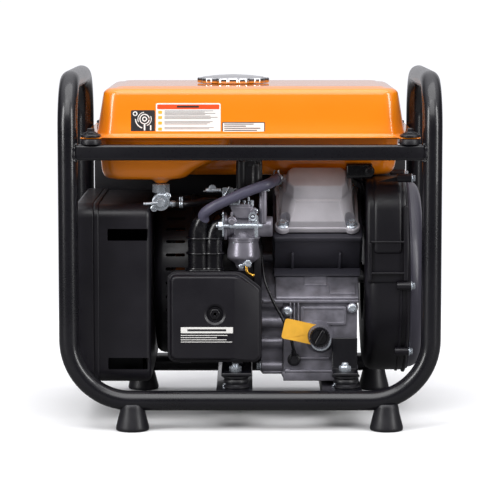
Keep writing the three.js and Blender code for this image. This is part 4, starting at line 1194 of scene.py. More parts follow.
shroud_parts = [refined("cylinder_shroud", "duct", 1.5)]
upper = [moulded("lip", "z", (105, 111.4), (28.6, 137.9), (-45.2, 44), 3, 1.0, 1.0, 2)]
for x in (52.5, 111.5):
    upper.append(moulded("rib", "z", (50.6, 84), (x - 1.6, x + 1.6), (-46.4, -40), 1.0, 1.4, 1.4, 2))
    upper.append(turned("rib_foot", "z", (x, -44.6), [(1.5, 49.8), (2.8, 50.2), (3, 53), (1.8, 58)], 18))
upper.append(moulded("hem", "z", (50.2, 54), (28.6, 137.9), (-44.6, 44), 2, 1.0, 1.0, 2))
upper.append(moulded("cheek", "z", (56, 104), (134.8, 139.2), (-36, 20), 3, 2.0, 2.0, 3))
upper.append(moulded("window", "z", (62, 98), (27.8, 31), (-30, 24), 3, 1.0, 1.0, 3))
shroud_parts += [tilted(part) for part in upper]
skirt = [slope_point(0.73, 0.6), slope_point(1.02, 0.6), slope_point(1.02, 3.2), slope_point(0.73, 3.2)]
shroud_parts.append(prism("skirt", "x", skirt, (30, 136.6), 0.6))
finished(grouped("cylinder_shroud_sheet", *shroud_parts), shroud_paint,
         replaces=("cylinder_shroud",))

# %% [markdown]
# ## Geometry Nodes: cooling fins
# An air-cooled head is a stack of thin fins on one pitch. The tree repeats a single fin along a
# line, so the fin's own outline can be drawn once and the pitch stays a number.
# %% The fin tree and the head's fins
fin_tree, given = new_tree(
    "stack_of_fins", [("Count", "Int", 8), ("Step", "Vector", None), ("Material", "Material", None)]
)
line = add(fin_tree, "GeometryNodeMeshLine", {"Count": given["Count"], "Offset": given["Step"]})
stack = add(
    fin_tree, "GeometryNodeInstanceOnPoints", {"Points": line.outputs["Mesh"], "Instance": given["Geometry"]}
)
end_tree(fin_tree, stack.outputs["Instances"], given["Material"])

fins = tilted(moulded("cylinder_head_fins", "z", (56, 57.8), (36, 131), (-38, 38), 7, 0.7, 0.7, 2))
FIN_PITCH = 6.2
grow(fins, fin_tree, {"Count": 9, "Step": along * FIN_PITCH * MM, "Material": cast_metal})
finished(fins, cast_metal)

# %% [markdown]
# ## The valve cover
# The brightest casting on the machine: two tapered tiers over a bolted lip, with long chamfers on
# its front corners that catch the light. It is a stack of eight-cornered outlines. The walls are
# scooped out above the four bolts to clear a socket, and every edge is rolled.
# %% Valve cover
def chamfered(x, v, front, rear, w):
    """An eight-cornered outline with its front and rear corners cut off."""
    (x0, x1), (v0, v1) = x, v
    return [
        (x0 + front, v0, w), (x1 - front, v0, w), (x1, v0 + front * 1.1, w), (x1, v1 - rear, w),
        (x1 - rear, v1, w), (x0 + rear, v1, w), (x0, v1 - rear, w), (x0, v0 + front * 1.1, w),
    ]


W = 112.5  # the head's end, along the cylinder
tiers = [
    chamfered((35.5, 130), (-35.4, 36), 7, 7, W + 6), chamfered((36, 129.5), (-35.2, 36), 8, 7, W + 8.5),
    chamfered((38, 127.6), (-34.4, 35.4), 12, 8, W + 17), chamfered((40, 125.4), (-24, 34.6), 15, 8, W + 30),
    chamfered((40.6, 124.8), (-19.4, 34.2), 15.5, 8, W + 34.4), chamfered((41.6, 123.8), (-18.4, 33.6), 15.5,
    8, W + 36.2),
    chamfered((43.8, 121.8), (-15.4, 32.4), 9.5, 8, W + 36.8), chamfered((44.4, 121.2), (-14.2, 32), 9, 8,
    W + 40),
    chamfered((46.4, 118.8), (-7.4, 28), 7, 6, W + 48.4), chamfered((47.8, 117), (-5.4, 26), 6, 6, W + 49.8),
]
dome = tilted(rolled(skin("dome", tiers), 1.3, 3, 12))
lip = tilted(moulded("lip", "z", (W, W + 7.6), (32.6, 133.4), (-37, 38), 8, 1.2, 1.4, 3))
bosses = []
scoops = []
cover_bolts = []
for x in (40.3, 125.2):
    for v in (-31, 31):
        bosses.append(tilted(turned("boss", "z", (x, v), [(8.4, W + 0.2), (9.5, W + 1.4), (9.7, W + 6.6),
            (9, W + 8), (5, W + 8.4)], 36)))
        scoops.append(tilted(turned("scoop", "z", (x, v), [(8.6, W + 8), (9.2, W + 9), (9.6, W + 30),
            (6, W + 33)], 32)))
        cover_bolts.append((engine_point(x, v, W + 8.2), tuple(along), 10.5))
dome = cut(dome, *scoops)
groove = tilted(moulded("gasket", "z", (W - 0.9, W + 0.6), (31.6, 134.4), (-37.8, 38.8), 8.6, 0.3, 0.3, 2))
spigot_at = engine_point(0, 21, W + 36)[1:]
spigot = turned("spigot", "x", spigot_at, [(3.4, 40.8), (5.3, 41), (5.6, 42.2), (5.1, 44.5), (5.4, 47),
    (5.4, 58)], 28)
finished(grouped("valve_cover_casting", dome, lip, *bosses, spigot), cast_metal,
         replaces=("valve_cover",), angle=28)
finished(groove, rubber)
fasten("valve_cover_bolts", "bolt", cover_bolts)

# %% [markdown]
# ## Ignition: coil and lead
# The coil sits over the fan housing's duct, held by one black bolt. Its lead runs back down to the
# plug on the head's right side.
# %% Coil and lead
coil = [moulded("coil", "x", (118, 150), (-86, -62), (299.5, 318), 4, 2.4, 2.4, 3),
        turned("ear", "y", (146, 309), [(4, -89), (6.4, -88.4), (6.6, -80)], 28)]
plug = engine_point(139, -6, 96)
lead_points = [(120, -66, 306), (126, -52, 300), (140, -40, 290), (146, plug[1] - 2, plug[2] + 22),
               (143, plug[1], plug[2] + 6), (139.4, plug[1], plug[2])]
coil.append(tube("lead", smooth_path(lead_points, 6), 3.4, 14))
finished(grouped("ignition_coil", *coil), gloss_black)
fasten("coil_bolt", "bolt", [((146, -89, 309), FRONT, 7.0)], sheet_black)

# %% [markdown]
# ## Geometry Nodes: openings round the crankshaft
# The recoil cover and the alternator drum breathe through rings of slots. The tree repeats one
# cutter about the crankshaft's line and takes the ring out of the shell with Mesh Boolean, so a
# slot is drawn once, in place, and its number stays an input.
# %% The ring-of-openings tree
ring_tree, given = new_tree(
    "openings_round_the_shaft",
    [("Cutter", "Object", None), ("Count", "Int", 12), ("Centre", "Vector", None),
     ("Arc", "Float", 2 * math.pi),
     ("Material", "Material", None)],
)
cutter = add(ring_tree, "GeometryNodeObjectInfo", {"Object": given["Cutter"]})
centred = add(ring_tree, "ShaderNodeVectorMath", {0: given["Centre"], 1: (-1, -1, -1)}, operation="MULTIPLY")
about_origin = add(
    ring_tree, "GeometryNodeTransform", {"Geometry": cutter.outputs["Geometry"],
    "Translation": centred.outputs["Vector"]}
)
line = add(ring_tree, "GeometryNodeMeshLine", {"Count": given["Count"], "Offset": (0, 0, 0)})
index = add(ring_tree, "GeometryNodeInputIndex")
share = add(ring_tree, "ShaderNodeMath", {0: index.outputs[0], 1: given["Count"]}, operation="DIVIDE")
angle_at = add(ring_tree, "ShaderNodeMath", {0: share.outputs[0], 1: given["Arc"]}, operation="MULTIPLY")
turn_at = add(ring_tree, "ShaderNodeCombineXYZ", {"X": angle_at.outputs[0]})
round_shaft = add(
    ring_tree, "GeometryNodeInstanceOnPoints",
    {"Points": line.outputs["Mesh"], "Instance": about_origin.outputs["Geometry"],
     "Rotation": turn_at.outputs["Vector"]},
)
back_in_place = add(
    ring_tree, "GeometryNodeTransform", {"Geometry": round_shaft.outputs["Instances"],
    "Translation": given["Centre"]}
)
tools = add(ring_tree, "GeometryNodeRealizeInstances", {"Geometry": back_in_place.outputs["Geometry"]})
opened = add(ring_tree, "GeometryNodeMeshBoolean", {"Mesh 1": given["Geometry"],
    "Mesh 2": tools.outputs["Geometry"]},
             operation="DIFFERENCE", solver="EXACT")
end_tree(ring_tree, opened.outputs["Mesh"], given["Material"])


def opened_round_shaft(obj, cutter_object, count, material, arc=2 * math.pi):
    grow(obj, ring_tree, {
        "Cutter": cutter_object, "Count": count, "Centre": [0, CRANK[0] * MM, CRANK[1] * MM], "Arc": arc,
        "Material": material,
    })
    bpy.data.objects.remove(cutter_object)
    return obj


# %% [markdown]
# ## Alternator drum
# A thin-walled moulded drum closes the alternator. Its edge rolls over into the end wall, and a ring
# of slots near the end wall lets the cooling air out.
# %% Alternator cover
low, high = box_mm("alternator_cover")
x0, x1, r = low.x, high.x, (high.z - low.z) / 2
outer = [(20, x0), (r - 12, x0), (r - 6, x0 + 1), (r - 1.8, x0 + 4.4), (r, x0 + 10), (r, x0 + 44),
         (r + 1.4, x0 + 45),
         (r + 1.4, x0 + 48), (r, x0 + 49), (r, x1 - 10), (r + 3, x1 - 8.5), (r + 3, x1)]
inner = [(r - 4, x1), (r - 4, x0 + 12), (r - 12, x0 + 4), (20, x0 + 4)]
drum = turned("alternator_drum", "x", CRANK, outer + inner, 96, closed=True)
slot_tool = moulded("slot", "z", (CRANK[1] + r - 14, CRANK[1] + r + 8), (x0 + 14, x0 + 38),
                    (CRANK[0] - 2, CRANK[0] + 2), 1.9, 0.2, 0.2, 1)
opened_round_shaft(drum, slot_tool, 36, abs_black)
hub = turned("hub", "x", CRANK, [(22, x0 + 4), (22, x0 - 1), (19, x0 - 1.6), (6, x0 - 1.6)], 48)
finished(grouped("alternator_housing", drum, hub), abs_black, replaces=("alternator_cover",))

# %% [markdown]
# ## Fan housing
# The flywheel's blades throw air into this housing, and its duct carries the air over the cylinder.
# It is a rounded drum with a tall duct on top, a stepped rim for the recoil cover, bolt bosses on the
# rim, and ribs that stiffen its front wall.
# %% Fan housing
low, high = box_mm("blower_housing")
x0, x1 = low.x, high.x
R = 122.0
rim_x = x1 - 3.5
profile = [(58, x0 + 3), (60, x0 + 0.4), (100, x0), (110, x0 + 0.8), (117, x0 + 4), (121, x0 + 9.5),
           (R, x0 + 16),
           (R, rim_x - 9), (R + 1.6, rim_x - 8), (R + 1.6, rim_x - 6), (R, rim_x - 5), (R, rim_x),
           (R + 2.4, rim_x + 0.3),
           (R + 3, rim_x + 1), (R + 3, x1 - 0.8), (R + 2, x1), (R - 8, x1), (R - 9, x1 - 2), (R - 10, x0 + 4)]
drum = turned("drum", "x", CRANK, profile, 96, closed=True)
duct_outline = [(-104, 172), (-104, 262), (-101, 274), (-94, 284), (-84, 291.5), (-70, 296), (-56, 297),
                (8, 297), (30, 294),
                (46, 285), (44, 200), (20, 172)]
duct = prism("duct", "x", duct_outline, (x0 + 0.6, rim_x), 4.5, 4)
shoulder = prism("shoulder", "x", [(-107, 208), (-107, 262), (-103, 278), (-92, 290), (-78, 297),
    (-62, 299.6), (-40, 299.6), (-40, 208)],
                 (x0 + 8, rim_x - 5), 6, 4)
for part in (duct, shoulder):  # the flywheel turns in the drum, so the duct ends at its wall
    cut(part, turned("fan_space", "x", CRANK, [(R - 7, x0 + 2), (R - 7, x1 + 4)], 96))
housing_parts = [drum, duct, shoulder]
housing_parts += [moulded("rib", "y", (-108.4, -98), (x0 + 6, rim_x - 2), (z, z + 2.6), 1.0, 1.2, 0.4, 2)
                  for z in (222.4, 184)]
housing_parts.append(moulded("edge_rib", "y", (-109, -98), (rim_x - 4.4, rim_x + 0.8), (176, 268), 1.0, 1.2,
                             0.4, 2))
housing_parts.append(moulded("left_rib", "y", (-107.4, -98), (x0 + 3.6, x0 + 7), (176, 222), 1.0, 1.2, 0.4,
                             2))
RIM_BOSSES = [(-109, 170), (-97, 301), (-72, 84), (112, 84), (130, 214), (40, 296)]
for y, z in RIM_BOSSES:
    housing_parts.append(turned("rim_boss", "x", (y, z), [(3.4, x1 - 16.5), (4.8, x1 - 16), (5.2, x1 - 14),
        (5.2, x1 + 0.6), (4.4, x1 + 1.2)], 24))
web = [[(x0 + 14, y, 296), (x1 - 6, y, 296), (x1 - 6, y, 305)] for y in (-90, -86)]
housing_parts.append(skin("web", web))
finished(grouped("fan_housing", *housing_parts), abs_black, replaces=("blower_housing",))
fasten("fan_housing_bolts", "bolt", [((x1 + 1.2, y, z), RIGHT, 8.0) for y, z in RIM_BOSSES])

# %% [markdown]
# ## Recoil starter
# A dished cover with a ring of long slots, a boss over the reel's pin and an eyelet for the rope.
# The cover is a closed shell 3 mm thick, so each slot shows the wall's depth and the reel behind.
# %% Recoil cover
low, high = box_mm("recoil_cover")
x0, x1 = low.x, high.x
outer = [(119, x0), (120.4, x0 + 0.8), (120.4, x0 + 2.6), (118.6, x0 + 3.4), (117.6, x0 + 8),
         (115.4, x0 + 12.4), (111.4, x0 + 15.8),
         (105.4, x0 + 17.8), (96, x1 - 0.6), (62, x1 - 0.6), (58.5, x1 - 2.4), (30, x1 - 2.4), (27, x1),
         (8, x1)]
inner = [(8, x1 - 3.4), (30, x1 - 5.4), (96, x1 - 3.6), (104, x0 + 14.6), (112.4, x0 + 9), (114, x0)]
cover = turned("recoil_dish", "x", CRANK, outer + inner, 96, closed=True)
slot_tool = moulded("slot", "x", (x1 - 8, x1 + 4), (CRANK[0] - 3, CRANK[0] + 3),
                    (CRANK[1] + 66, CRANK[1] + 96), 2.8, 0.2, 0.2, 1)
opened_round_shaft(cover, slot_tool, 30, abs_black)
inner_tool = moulded("slot", "x", (x1 - 8, x1 + 4), (CRANK[0] - 2, CRANK[0] + 2),
                     (CRANK[1] + 38, CRANK[1] + 52), 1.9, 0.2, 0.2, 1)
opened_round_shaft(cover, inner_tool, 14, abs_black)
EYELET = (62.0, 214.0)
eyelet = turned("eyelet", "x", EYELET, [(3.2, x1 - 3), (8.6, x1 - 3), (8.8, x1 - 0.6), (7.4, x1 + 0.6),
    (4, x1 + 0.8), (3.2, x1)], 32, closed=True)
badge = turned("boss_cap", "x", CRANK, [(8, x1 - 3), (14, x1 - 2), (21, x1 - 0.6), (20, x1 + 0.2),
    (4, x1 + 0.5)], 48)
finished(grouped("recoil_cover_shell", cover, eyelet, badge), recoil_paint,
         replaces=("recoil_cover",))
recoil_screws = []
for t in np.radians([20, 140, 260]):
    recoil_screws.append(((x1 - 0.7, CRANK[0] + 103 * math.cos(t), CRANK[1] + 103 * math.sin(t)), RIGHT, 8.5))
fasten("recoil_cover_screws", "screw", recoil_screws)

# %% [markdown]
# ## Grip and rope
# The T-shaped grip sits in the eyelet. Its rope comes out as the grip is pulled. The short piece of
# rope between the cover and the grip is three strands laid round each other.
# %% Grip and rope
low, high = box_mm("recoil_handle")
grip_x = (x1 + 3, high.x)
grip = moulded("grip_bar", "x", grip_x, (low.y, high.y), (EYELET[1] - 7, EYELET[1] + 7), 6.4, 3.4, 4.2, 5)
finger = [moulded("finger_rib", "x", (grip_x[0] + 3.6, grip_x[0] + 7.4), (y, y + 2),
                  (EYELET[1] - 7.4, EYELET[1] + 7.4), 0.9, 0.6, 0.6, 2)
          for y in (low.y + 9, low.y + 14, high.y - 16, high.y - 11)]
collar = turned("collar", "x", EYELET, [(3, x1 + 0.9), (5.4, x1 + 1.2), (6.6, x1 + 2.4), (8.4, x1 + 5)], 28)
finished(grouped("starter_grip", grip, collar, *finger), rubber, "pull_grip",
         ("recoil_handle",))
rope_x = np.linspace(low.x + 0.4, x1 + 4, 40)
ROPE_R = 2.2
ropes = []
for strand in range(3):  # three strands laid round each other
    path = [Vector((x, EYELET[0] + 0.9 * math.cos(1.1 * x + strand * 2.1),
                    EYELET[1] + 0.9 * math.sin(1.1 * x + strand * 2.1)))
            for x in rope_x]
    ropes.append(tube("strand", path, ROPE_R - 0.9, 8))
rope = grouped("starter_rope", *ropes)
rope.data.materials.append(rope_nylon)
rope.data.shade_smooth()
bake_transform(rope)

# %% [markdown]
# ## Air cleaner
# A moulded box in two halves. The front half is a shallow bowl with a long chamfer at one corner, a
# flat facet down its right side, and a dish that holds the knob. Its walls roll over in steps from
# the lip to the face, so the shape is a stack of the same outline drawn a little smaller each time.
# %% Air cleaner cover
low, high = box_mm("air_cleaner_cover")
AIR_X, AIR_Z = (low.x, high.x), (low.z, high.z)
AIR_FACE, AIR_SPLIT = low.y, high.y
KNOB = (-42.5, 138.0)


def air_outline(inset, steps=7):
    """The air cleaner's outline: three round corners and one long chamfer."""
    (x0, x1), (z0, z1) = (AIR_X[0] + inset, AIR_X[1] - inset), (AIR_Z[0] + inset, AIR_Z[1] - inset)
    points = rounded_rectangle((x0, x1), (z0, z1), max(10 - inset * 0.7, 3), steps)[steps + 1 :]
    shoulder = [(x1, z1 - 23), (x1 - 1.4, z1 - 19), (x1 - 5, z1 - 15.6), (x1 - 22, z1 - 2.8),
                (x1 - 27, z1 - 0.5), (x1 - 32, z1)]
    return shoulder + points


levels = [(0.6, AIR_SPLIT), (0, AIR_SPLIT - 0.6), (0, AIR_SPLIT - 3), (0.5, AIR_SPLIT - 3.6),
          (2.4, AIR_SPLIT - 3.9)]
levels += [(3 + 4.2 * (1 - math.cos(t)), AIR_SPLIT - 4.4 - (AIR_SPLIT - 4.4 - AIR_FACE) * math.sin(t))
           for t in quarter]
bowl = skin("air_bowl", [[(a, y, b) for a, b in air_outline(inset)] for inset, y in levels])
facet_tool = prism("facet", "z", [(-20, AIR_FACE - 0.2), (12, AIR_FACE + 7.4), (40, AIR_FACE + 12),
    (40, AIR_FACE - 9), (-20, AIR_FACE - 9)],
                   (AIR_Z[0] - 5, AIR_Z[1] + 5))
dish_tool = turned("dish", "y", KNOB, [(15.6, AIR_FACE - 1), (13, AIR_FACE), (10.4, AIR_FACE + 1.6),
    (9.2, AIR_FACE + 4.2)], 48)
bowl = rolled(cut(bowl, facet_tool), 1.8, 3, 9)
bowl = rolled(cut(bowl, dish_tool), 0.9, 2, 40)
finished(bowl, abs_black, replaces=("air_cleaner_cover",), angle=30)

back_low, back_high = box_mm("air_cleaner_case")
levels = [(2.4, back_low.y), (2, back_low.y + 0.4), (2, back_high.y - 4), (3.2, back_high.y - 1.2),
          (6, back_high.y)]
case = skin("air_case", [[(a, y, b) for a, b in air_outline(inset)] for inset, y in levels])
clips = [moulded("clip", "y", (back_low.y - 4, back_low.y + 8), (AIR_X[0] + a, AIR_X[0] + a + 12),
                 (z, z + 2.6), 1, 0.6, 0.6, 2)
         for a, z in ((16, AIR_Z[0] - 1.4), (80, AIR_Z[0] - 1.4))]
finished(grouped("air_cleaner_back", case, *clips), abs_black,
         replaces=("air_cleaner_case",))

low, high = box_mm("air_cleaner_knob")
head = turned("head", "y", KNOB, [(7.4, high.y - 10), (7.4, low.y + 1.6), (6.8, low.y + 0.4), (5.6, low.y)],
              6)
socket = turned("socket", "y", KNOB, [(2.6, low.y - 1), (2.6, low.y + 2)], 6)
knob = rolled(cut(head, socket), 0.5, 2)
stud = turned("stud", "y", KNOB, [(2.5, low.y + 2), (2.5, high.y)], 20)
finished(grouped("air_knob_bolt", knob, stud), gloss_black, "air_knob",
         ("air_cleaner_knob",))

header = moulded("air_label", "y", (AIR_FACE - 0.25, AIR_FACE + 0.4), (-84, -20.6), (115, 122.4), 0.8, 0.1,
                 0.1, 1)
finished(header, film_white)
printed_lines("air_label_title", (-76, AIR_FACE - 0.3, 118.7), 1, 2, (46, 48), 2.6, film_black,
              5)
printed_lines("air_label_print", (-84, AIR_FACE - 0.05, 112.4), 4, 2.7, (40, 63), 0.8, film_white,
              13)

# %% [markdown]
# ## Geometry Nodes: ribs along a hose
# A corrugated or ribbed hose is a plain tube with rings at equal steps. The tree resamples a path to
# as many points as there are ribs and stands one ring on each, square to the path's own direction.
# %% The rib tree
rib_tree, given = new_tree(
    "ribs_along_a_path",
    [("Count", "Int", 3), ("Ring radius", "Float", 0.01), ("Rib radius", "Float", 0.001),
     ("Material", "Material", None)],
)
as_curve = add(rib_tree, "GeometryNodeMeshToCurve", {"Mesh": given["Geometry"]})
stations = add(rib_tree, "GeometryNodeResampleCurve", {"Curve": as_curve.outputs["Curve"],
    "Count": given["Count"]}, mode="COUNT")
tangent = add(rib_tree, "GeometryNodeInputTangent")
square = add(rib_tree, "FunctionNodeAlignRotationToVector", {"Vector": tangent.outputs["Tangent"]}, axis="Z")
ring_line = add(rib_tree, "GeometryNodeCurvePrimitiveCircle",
                {"Resolution": 40, "Radius": given["Ring radius"]}, mode="RADIUS")
rib_section = add(rib_tree, "GeometryNodeCurvePrimitiveCircle",
                  {"Resolution": 10, "Radius": given["Rib radius"]}, mode="RADIUS")
ring = add(rib_tree, "GeometryNodeCurveToMesh",
           {"Curve": ring_line.outputs["Curve"], "Profile Curve": rib_section.outputs["Curve"]})
rings_at = add(
    rib_tree, "GeometryNodeInstanceOnPoints",
    {"Points": stations.outputs["Curve"], "Instance": ring.outputs["Mesh"],
     "Rotation": square.outputs["Rotation"]},
)
end_tree(rib_tree, rings_at.outputs["Instances"], given["Material"])


def ribs(name, path, count, ring_radius, rib_radius, material):
    """Equally spaced rings along a path in mm."""
    line_mesh = bpy.data.meshes.new(name)
    line_mesh.from_pydata([p * MM for p in path], [(i, i + 1) for i in range(len(path) - 1)], [])
    return grow(linked(name, line_mesh), rib_tree, {
        "Count": count, "Ring radius": ring_radius * MM, "Rib radius": rib_radius * MM, "Material": material,
    })


# %% [markdown]
# ## The intake elbow
# One rubber moulding with two throats side by side. The left one rises from the air cleaner to the
# breather hose's spigot, and the right one bends over to the carburettor. Both carry the same ribs,
# and the neck at each end is swollen where it grips the next part.
# %% Intake elbow
low, high = box_mm("intake_elbow")
base_z = low.z
LEFT_X, RIGHT_X, THROAT_Y = -62.6, -44.6, -101.0
left_path = smooth_path([(LEFT_X, THROAT_Y, base_z), (LEFT_X, THROAT_Y, 210), (LEFT_X, THROAT_Y, 226),
                         (LEFT_X + 0.6, THROAT_Y - 1.6, 238),
                         (LEFT_X + 3.4, THROAT_Y - 5, 247), (LEFT_X + 6.2, THROAT_Y - 7.5, 252)], 6)
left_radii = [13.2 if i < 13 else 13.2 - 5.4 * ((i - 13) / (len(left_path) - 14)) ** 1.5
              for i in range(len(left_path))]
right_path = smooth_path([(RIGHT_X, THROAT_Y, base_z), (RIGHT_X, THROAT_Y, 206), (RIGHT_X, THROAT_Y, 222),
                          (RIGHT_X + 1.6, THROAT_Y + 1, 234),
                          (RIGHT_X + 6, THROAT_Y + 2, 241), (high.x + 2, -98.5, 243.4)], 6)
right_radii = [12 + 3.4 * max(0.0, i / (len(right_path) - 1) - 0.55) / 0.45 for i in range(len(right_path))]
elbow_parts = [tube("left_throat", left_path, left_radii, 32), tube("right_throat", right_path, right_radii,
    32)]
RIB_Z = (191.4, 228.4)
for x, r in ((LEFT_X, 13.2), (RIGHT_X, 12.0)):
    span = [Vector((x, THROAT_Y, z)) for z in np.linspace(*RIB_Z, 8)]
    elbow_parts.append(ribs("ribs", span, 3, r + 0.9, 1.5, gloss_black))
elbow_parts.append(moulded("web", "z", (base_z, 236), (LEFT_X, RIGHT_X), (THROAT_Y - 7, THROAT_Y + 7), 1.5,
                           0.5, 3, 2))
elbow_parts.append(moulded("foot", "z", (base_z, base_z + 3.4), (-79, -31), (THROAT_Y - 15, THROAT_Y + 15),
                           12, 1.0, 1.2, 3))
finished(grouped("intake_elbow_rubber", *elbow_parts), gloss_black,
         replaces=("intake_elbow",))

# %% [markdown]
# ## Carburettor
# A zinc-grey casting between two flanges, crowded with small parts: the throttle and choke shafts,
# screws with springs, two long studs that clamp it to the head, and a float bowl with its drain. At
# this size the eye counts edges and highlights, so many small turned parts beat one smooth block.
# %% Carburettor body
CARB_Y, BORE_Z, BOWL_X = -98.5, 242.0, -8.0
body_section = [(-24.5, 268), (3.5, 268), (4.5, 262), (-1, 253.5), (-16.5, 253.5), (-22, 262)]
carb = [
    prism("upper_body", "y", body_section[::-1], (CARB_Y - 17, CARB_Y + 13), 1.4, 3),
    moulded("body", "y", (CARB_Y - 13, CARB_Y + 13), (-20, 6), (231, 256), 3, 2, 2, 3),
    turned("bore", "x", (CARB_Y, BORE_Z), [(11, -33), (13.6, -32), (13.6, -25), (12.4, -24), (12.4, 8),
    (12.6, 10), (12.6, 26), (11, 27.6)], 44),
    moulded("left_flange", "x", (-31.4, -28.2), (CARB_Y - 17, CARB_Y + 18), (BORE_Z - 16, BORE_Z + 16), 10,
            0.8, 0.8, 3),
    moulded("right_flange", "x", (7, 11), (CARB_Y - 9, CARB_Y + 18), (BORE_Z - 15, BORE_Z + 15), 8, 0.8, 0.8,
            3),
    turned("bowl_neck", "z", (BOWL_X, CARB_Y), [(13.4, 238), (14.6, 233), (17.4, 230), (20.6, 229.6),
    (20.6, 227.9), (18, 227.8)], 48),
    turned("nipple", "y", (-16, 256), [(2.4, -90), (3.6, -86), (3.6, -80), (4.2, -79), (3.4, -75),
    (2.4, -74)], 20),
    moulded("top_plate", "z", (267, 270.4), (-25, 1), (CARB_Y - 17, CARB_Y + 10), 3, 0.8, 0.8, 2),
    turned("choke_boss", "y", (-22, 250), [(4.6, -115.2), (5.6, -114.6), (5.8, -108)], 24),
]
for x, z in ((2.4, 250.5), (4.5, 262.5)):
    carb.append(turned("boss", "y", (x, z), [(3.2, -119), (4, -118.4), (4.2, -106)], 20))
finished(grouped("carburettor_casting", *carb), carburettor_cast,
         replaces=("carburettor_body",), angle=30)

bracket = [
    moulded("pillar", "z", (247, 288), (11, 20.4), (CARB_Y - 13.6, CARB_Y - 6), 3.4, 0.8, 1.4, 4),
    moulded("pillar_rib", "z", (247, 286), (13.9, 15.4), (CARB_Y - 14.8, CARB_Y - 6), 0.7, 0.4, 0.4, 1),
]
finished(grouped("throttle_bracket", *bracket), carburettor_cast)

bright = [
    moulded("motor_tab", "z", (286.2, 288.4), (-2, 24), (CARB_Y - 14, CARB_Y + 14), 2, 0.5, 0.5, 2),
    turned("post_head", "z", (15.6, CARB_Y - 9), [(3.6, 288), (3.6, 290.6), (2.2, 292.4), (1.2, 293)], 12),
    moulded("idle_arm", "y", (-121, -119.4), (5.6, 9.8), (230.5, 258), 1.8, 0.4, 0.4, 2),
    turned("idle_pivot", "y", (3.4, 256), [(3.2, -121.6), (4.4, -122), (5.4, -121), (5.4, -118),
    (3.2, -117.6)], 28, closed=True),
    turned("idle_pivot_pin", "y", (3.4, 256), [(1.0, -121), (1.6, -120.6), (1.6, -116)], 12),
    turned("shaft_sleeve", "x", (-118.4, 244.6), [(2, -24.4), (3.6, -24), (3.6, 8.4), (2.6, 9), (2.4, 14.6),
    (1.6, 15.4)], 28),
    turned("long_stud", "x", (-118.4, 244.6), [(1.8, -41), (2.3, -40), (2.3, -24), (1.7, -23)], 20),
    turned("stud_nut", "x", (-119.6, 244.8), [(4.6, -38.6), (5.4, -38), (5.4, -33.4), (4.6, -32.8)], 6),
    turned("rear_stud", "x", (-78, 240), [(1.8, -39), (2.3, -38), (2.3, 26), (1.7, 27)], 16),
    moulded("left_plate", "x", (-33.6, -31.8), (CARB_Y - 22, CARB_Y - 4), (231, 262), 3, 0.4, 0.4, 2),
    moulded("cable_tab", "y", (-119, -117.6), (-27, -13), (270, 273), 0.8, 0.3, 0.3, 1),
]
for x, z, tall, r in ((-20.6, 270, 6, 1.8), (-13.6, 270, 8, 2.4), (-7, 270, 5, 2.0), (-1.8, 270, 9, 1.6),
                      (2.6, 262, 13, 2.2)):
    bright.append(turned("screw", "z", (x, CARB_Y - 12), [(r * 0.6, z), (r * 0.6, z + tall * 0.4),
        (r, z + tall * 0.45), (r, z + tall), (r * 0.6, z + tall + 0.6)], 16))
for x, z in ((5.4, 250.5), (7, 262.5)):  # springs under the adjusting screws
    coil_path = [Vector((x + 2.3 * math.cos(t), -112 - t * 0.34, z + 2.3 * math.sin(t)))
                 for t in np.linspace(0, 10 * math.pi, 90)]
    bright.append(tube("spring", coil_path, 0.5, 8))
finished(grouped("carburettor_brightwork", *bright), zinc)

# %% [markdown]
# ## Float bowl, drain and brass spout
# The bowl is a drawn aluminium cup with a rolled top edge, a straight wall that widens a little, and
# a cone below. The drain screw and its brass spout stand off to one side.
# %% Float bowl
low, high = box_mm("float_bowl")
BOWL_R = (high.x - low.x) / 2
bowl = turned(
    "bowl_cup", "z", (BOWL_X, CARB_Y),
    [(17.6, high.z), (19, high.z - 0.3), (19, high.z - 3.4), (18, high.z - 4), (18.2, high.z - 6),
     (19.8, high.z - 15), (BOWL_R - 0.3, high.z - 20),
     (BOWL_R, high.z - 22), (19.6, high.z - 24), (17.6, high.z - 26), (13.6, high.z - 28.4),
     (10.4, high.z - 31), (9.4, high.z - 34),
     (8.6, high.z - 36), (6.4, high.z - 37), (6, low.z + 0.6), (4, low.z)], 56,
)
finished(bowl, drawn_bowl, replaces=("float_bowl",))
fasten("bowl_screws", "screw", [((-18.5, CARB_Y - 12.6, high.z - 4), FRONT, 5.2),
    ((1.2, CARB_Y - 13, high.z - 4), FRONT, 5.2)])
drain = [turned("drain_body", "x", (CARB_Y - 12, 197), [(2.4, -9), (3.4, -8.4), (3.4, -4), (4.6, -3.6),
    (4.6, 0.4), (3.4, 1), (2.2, 1.8)], 16),
         turned("drain_head", "y", (-2.4, 198.6), [(3.2, -117.6), (4.4, -117), (4.4, -113.6), (3, -112)], 6),
         turned("bowl_nut", "y", (-10.4, 194), [(2.4, -112), (3.4, -111.4), (3.4, -108)], 6)]
finished(grouped("bowl_drain", *drain), zinc)
spout_path = smooth_path([(-4.4, -111, 197), (-4.2, -112.4, 191), (-2.6, -113.2, 186.6), (1.4, -113.6, 184.4),
                          (5.2, -114, 183.2)], 6)
spout = tube("drain_spout", spout_path, [1.9] * (len(spout_path) - 4) + [2.3, 2.5, 2.5, 2.2], 16)
finished(spout, brass)

low, high = box_mm("choke_lever")
lever = [moulded("arm", "y", (low.y + 1, low.y + 2.4), (-23.4, -20.6), (247.6, 262), 1.3, 0.4, 0.4, 2),
         turned("hub", "y", (-22, 250), [(3, low.y - 0.6), (3.8, low.y), (4, high.y)], 24)]
finished(grouped("choke_lever_plate", *lever), carburettor_cast, "choke", ("choke_lever",))

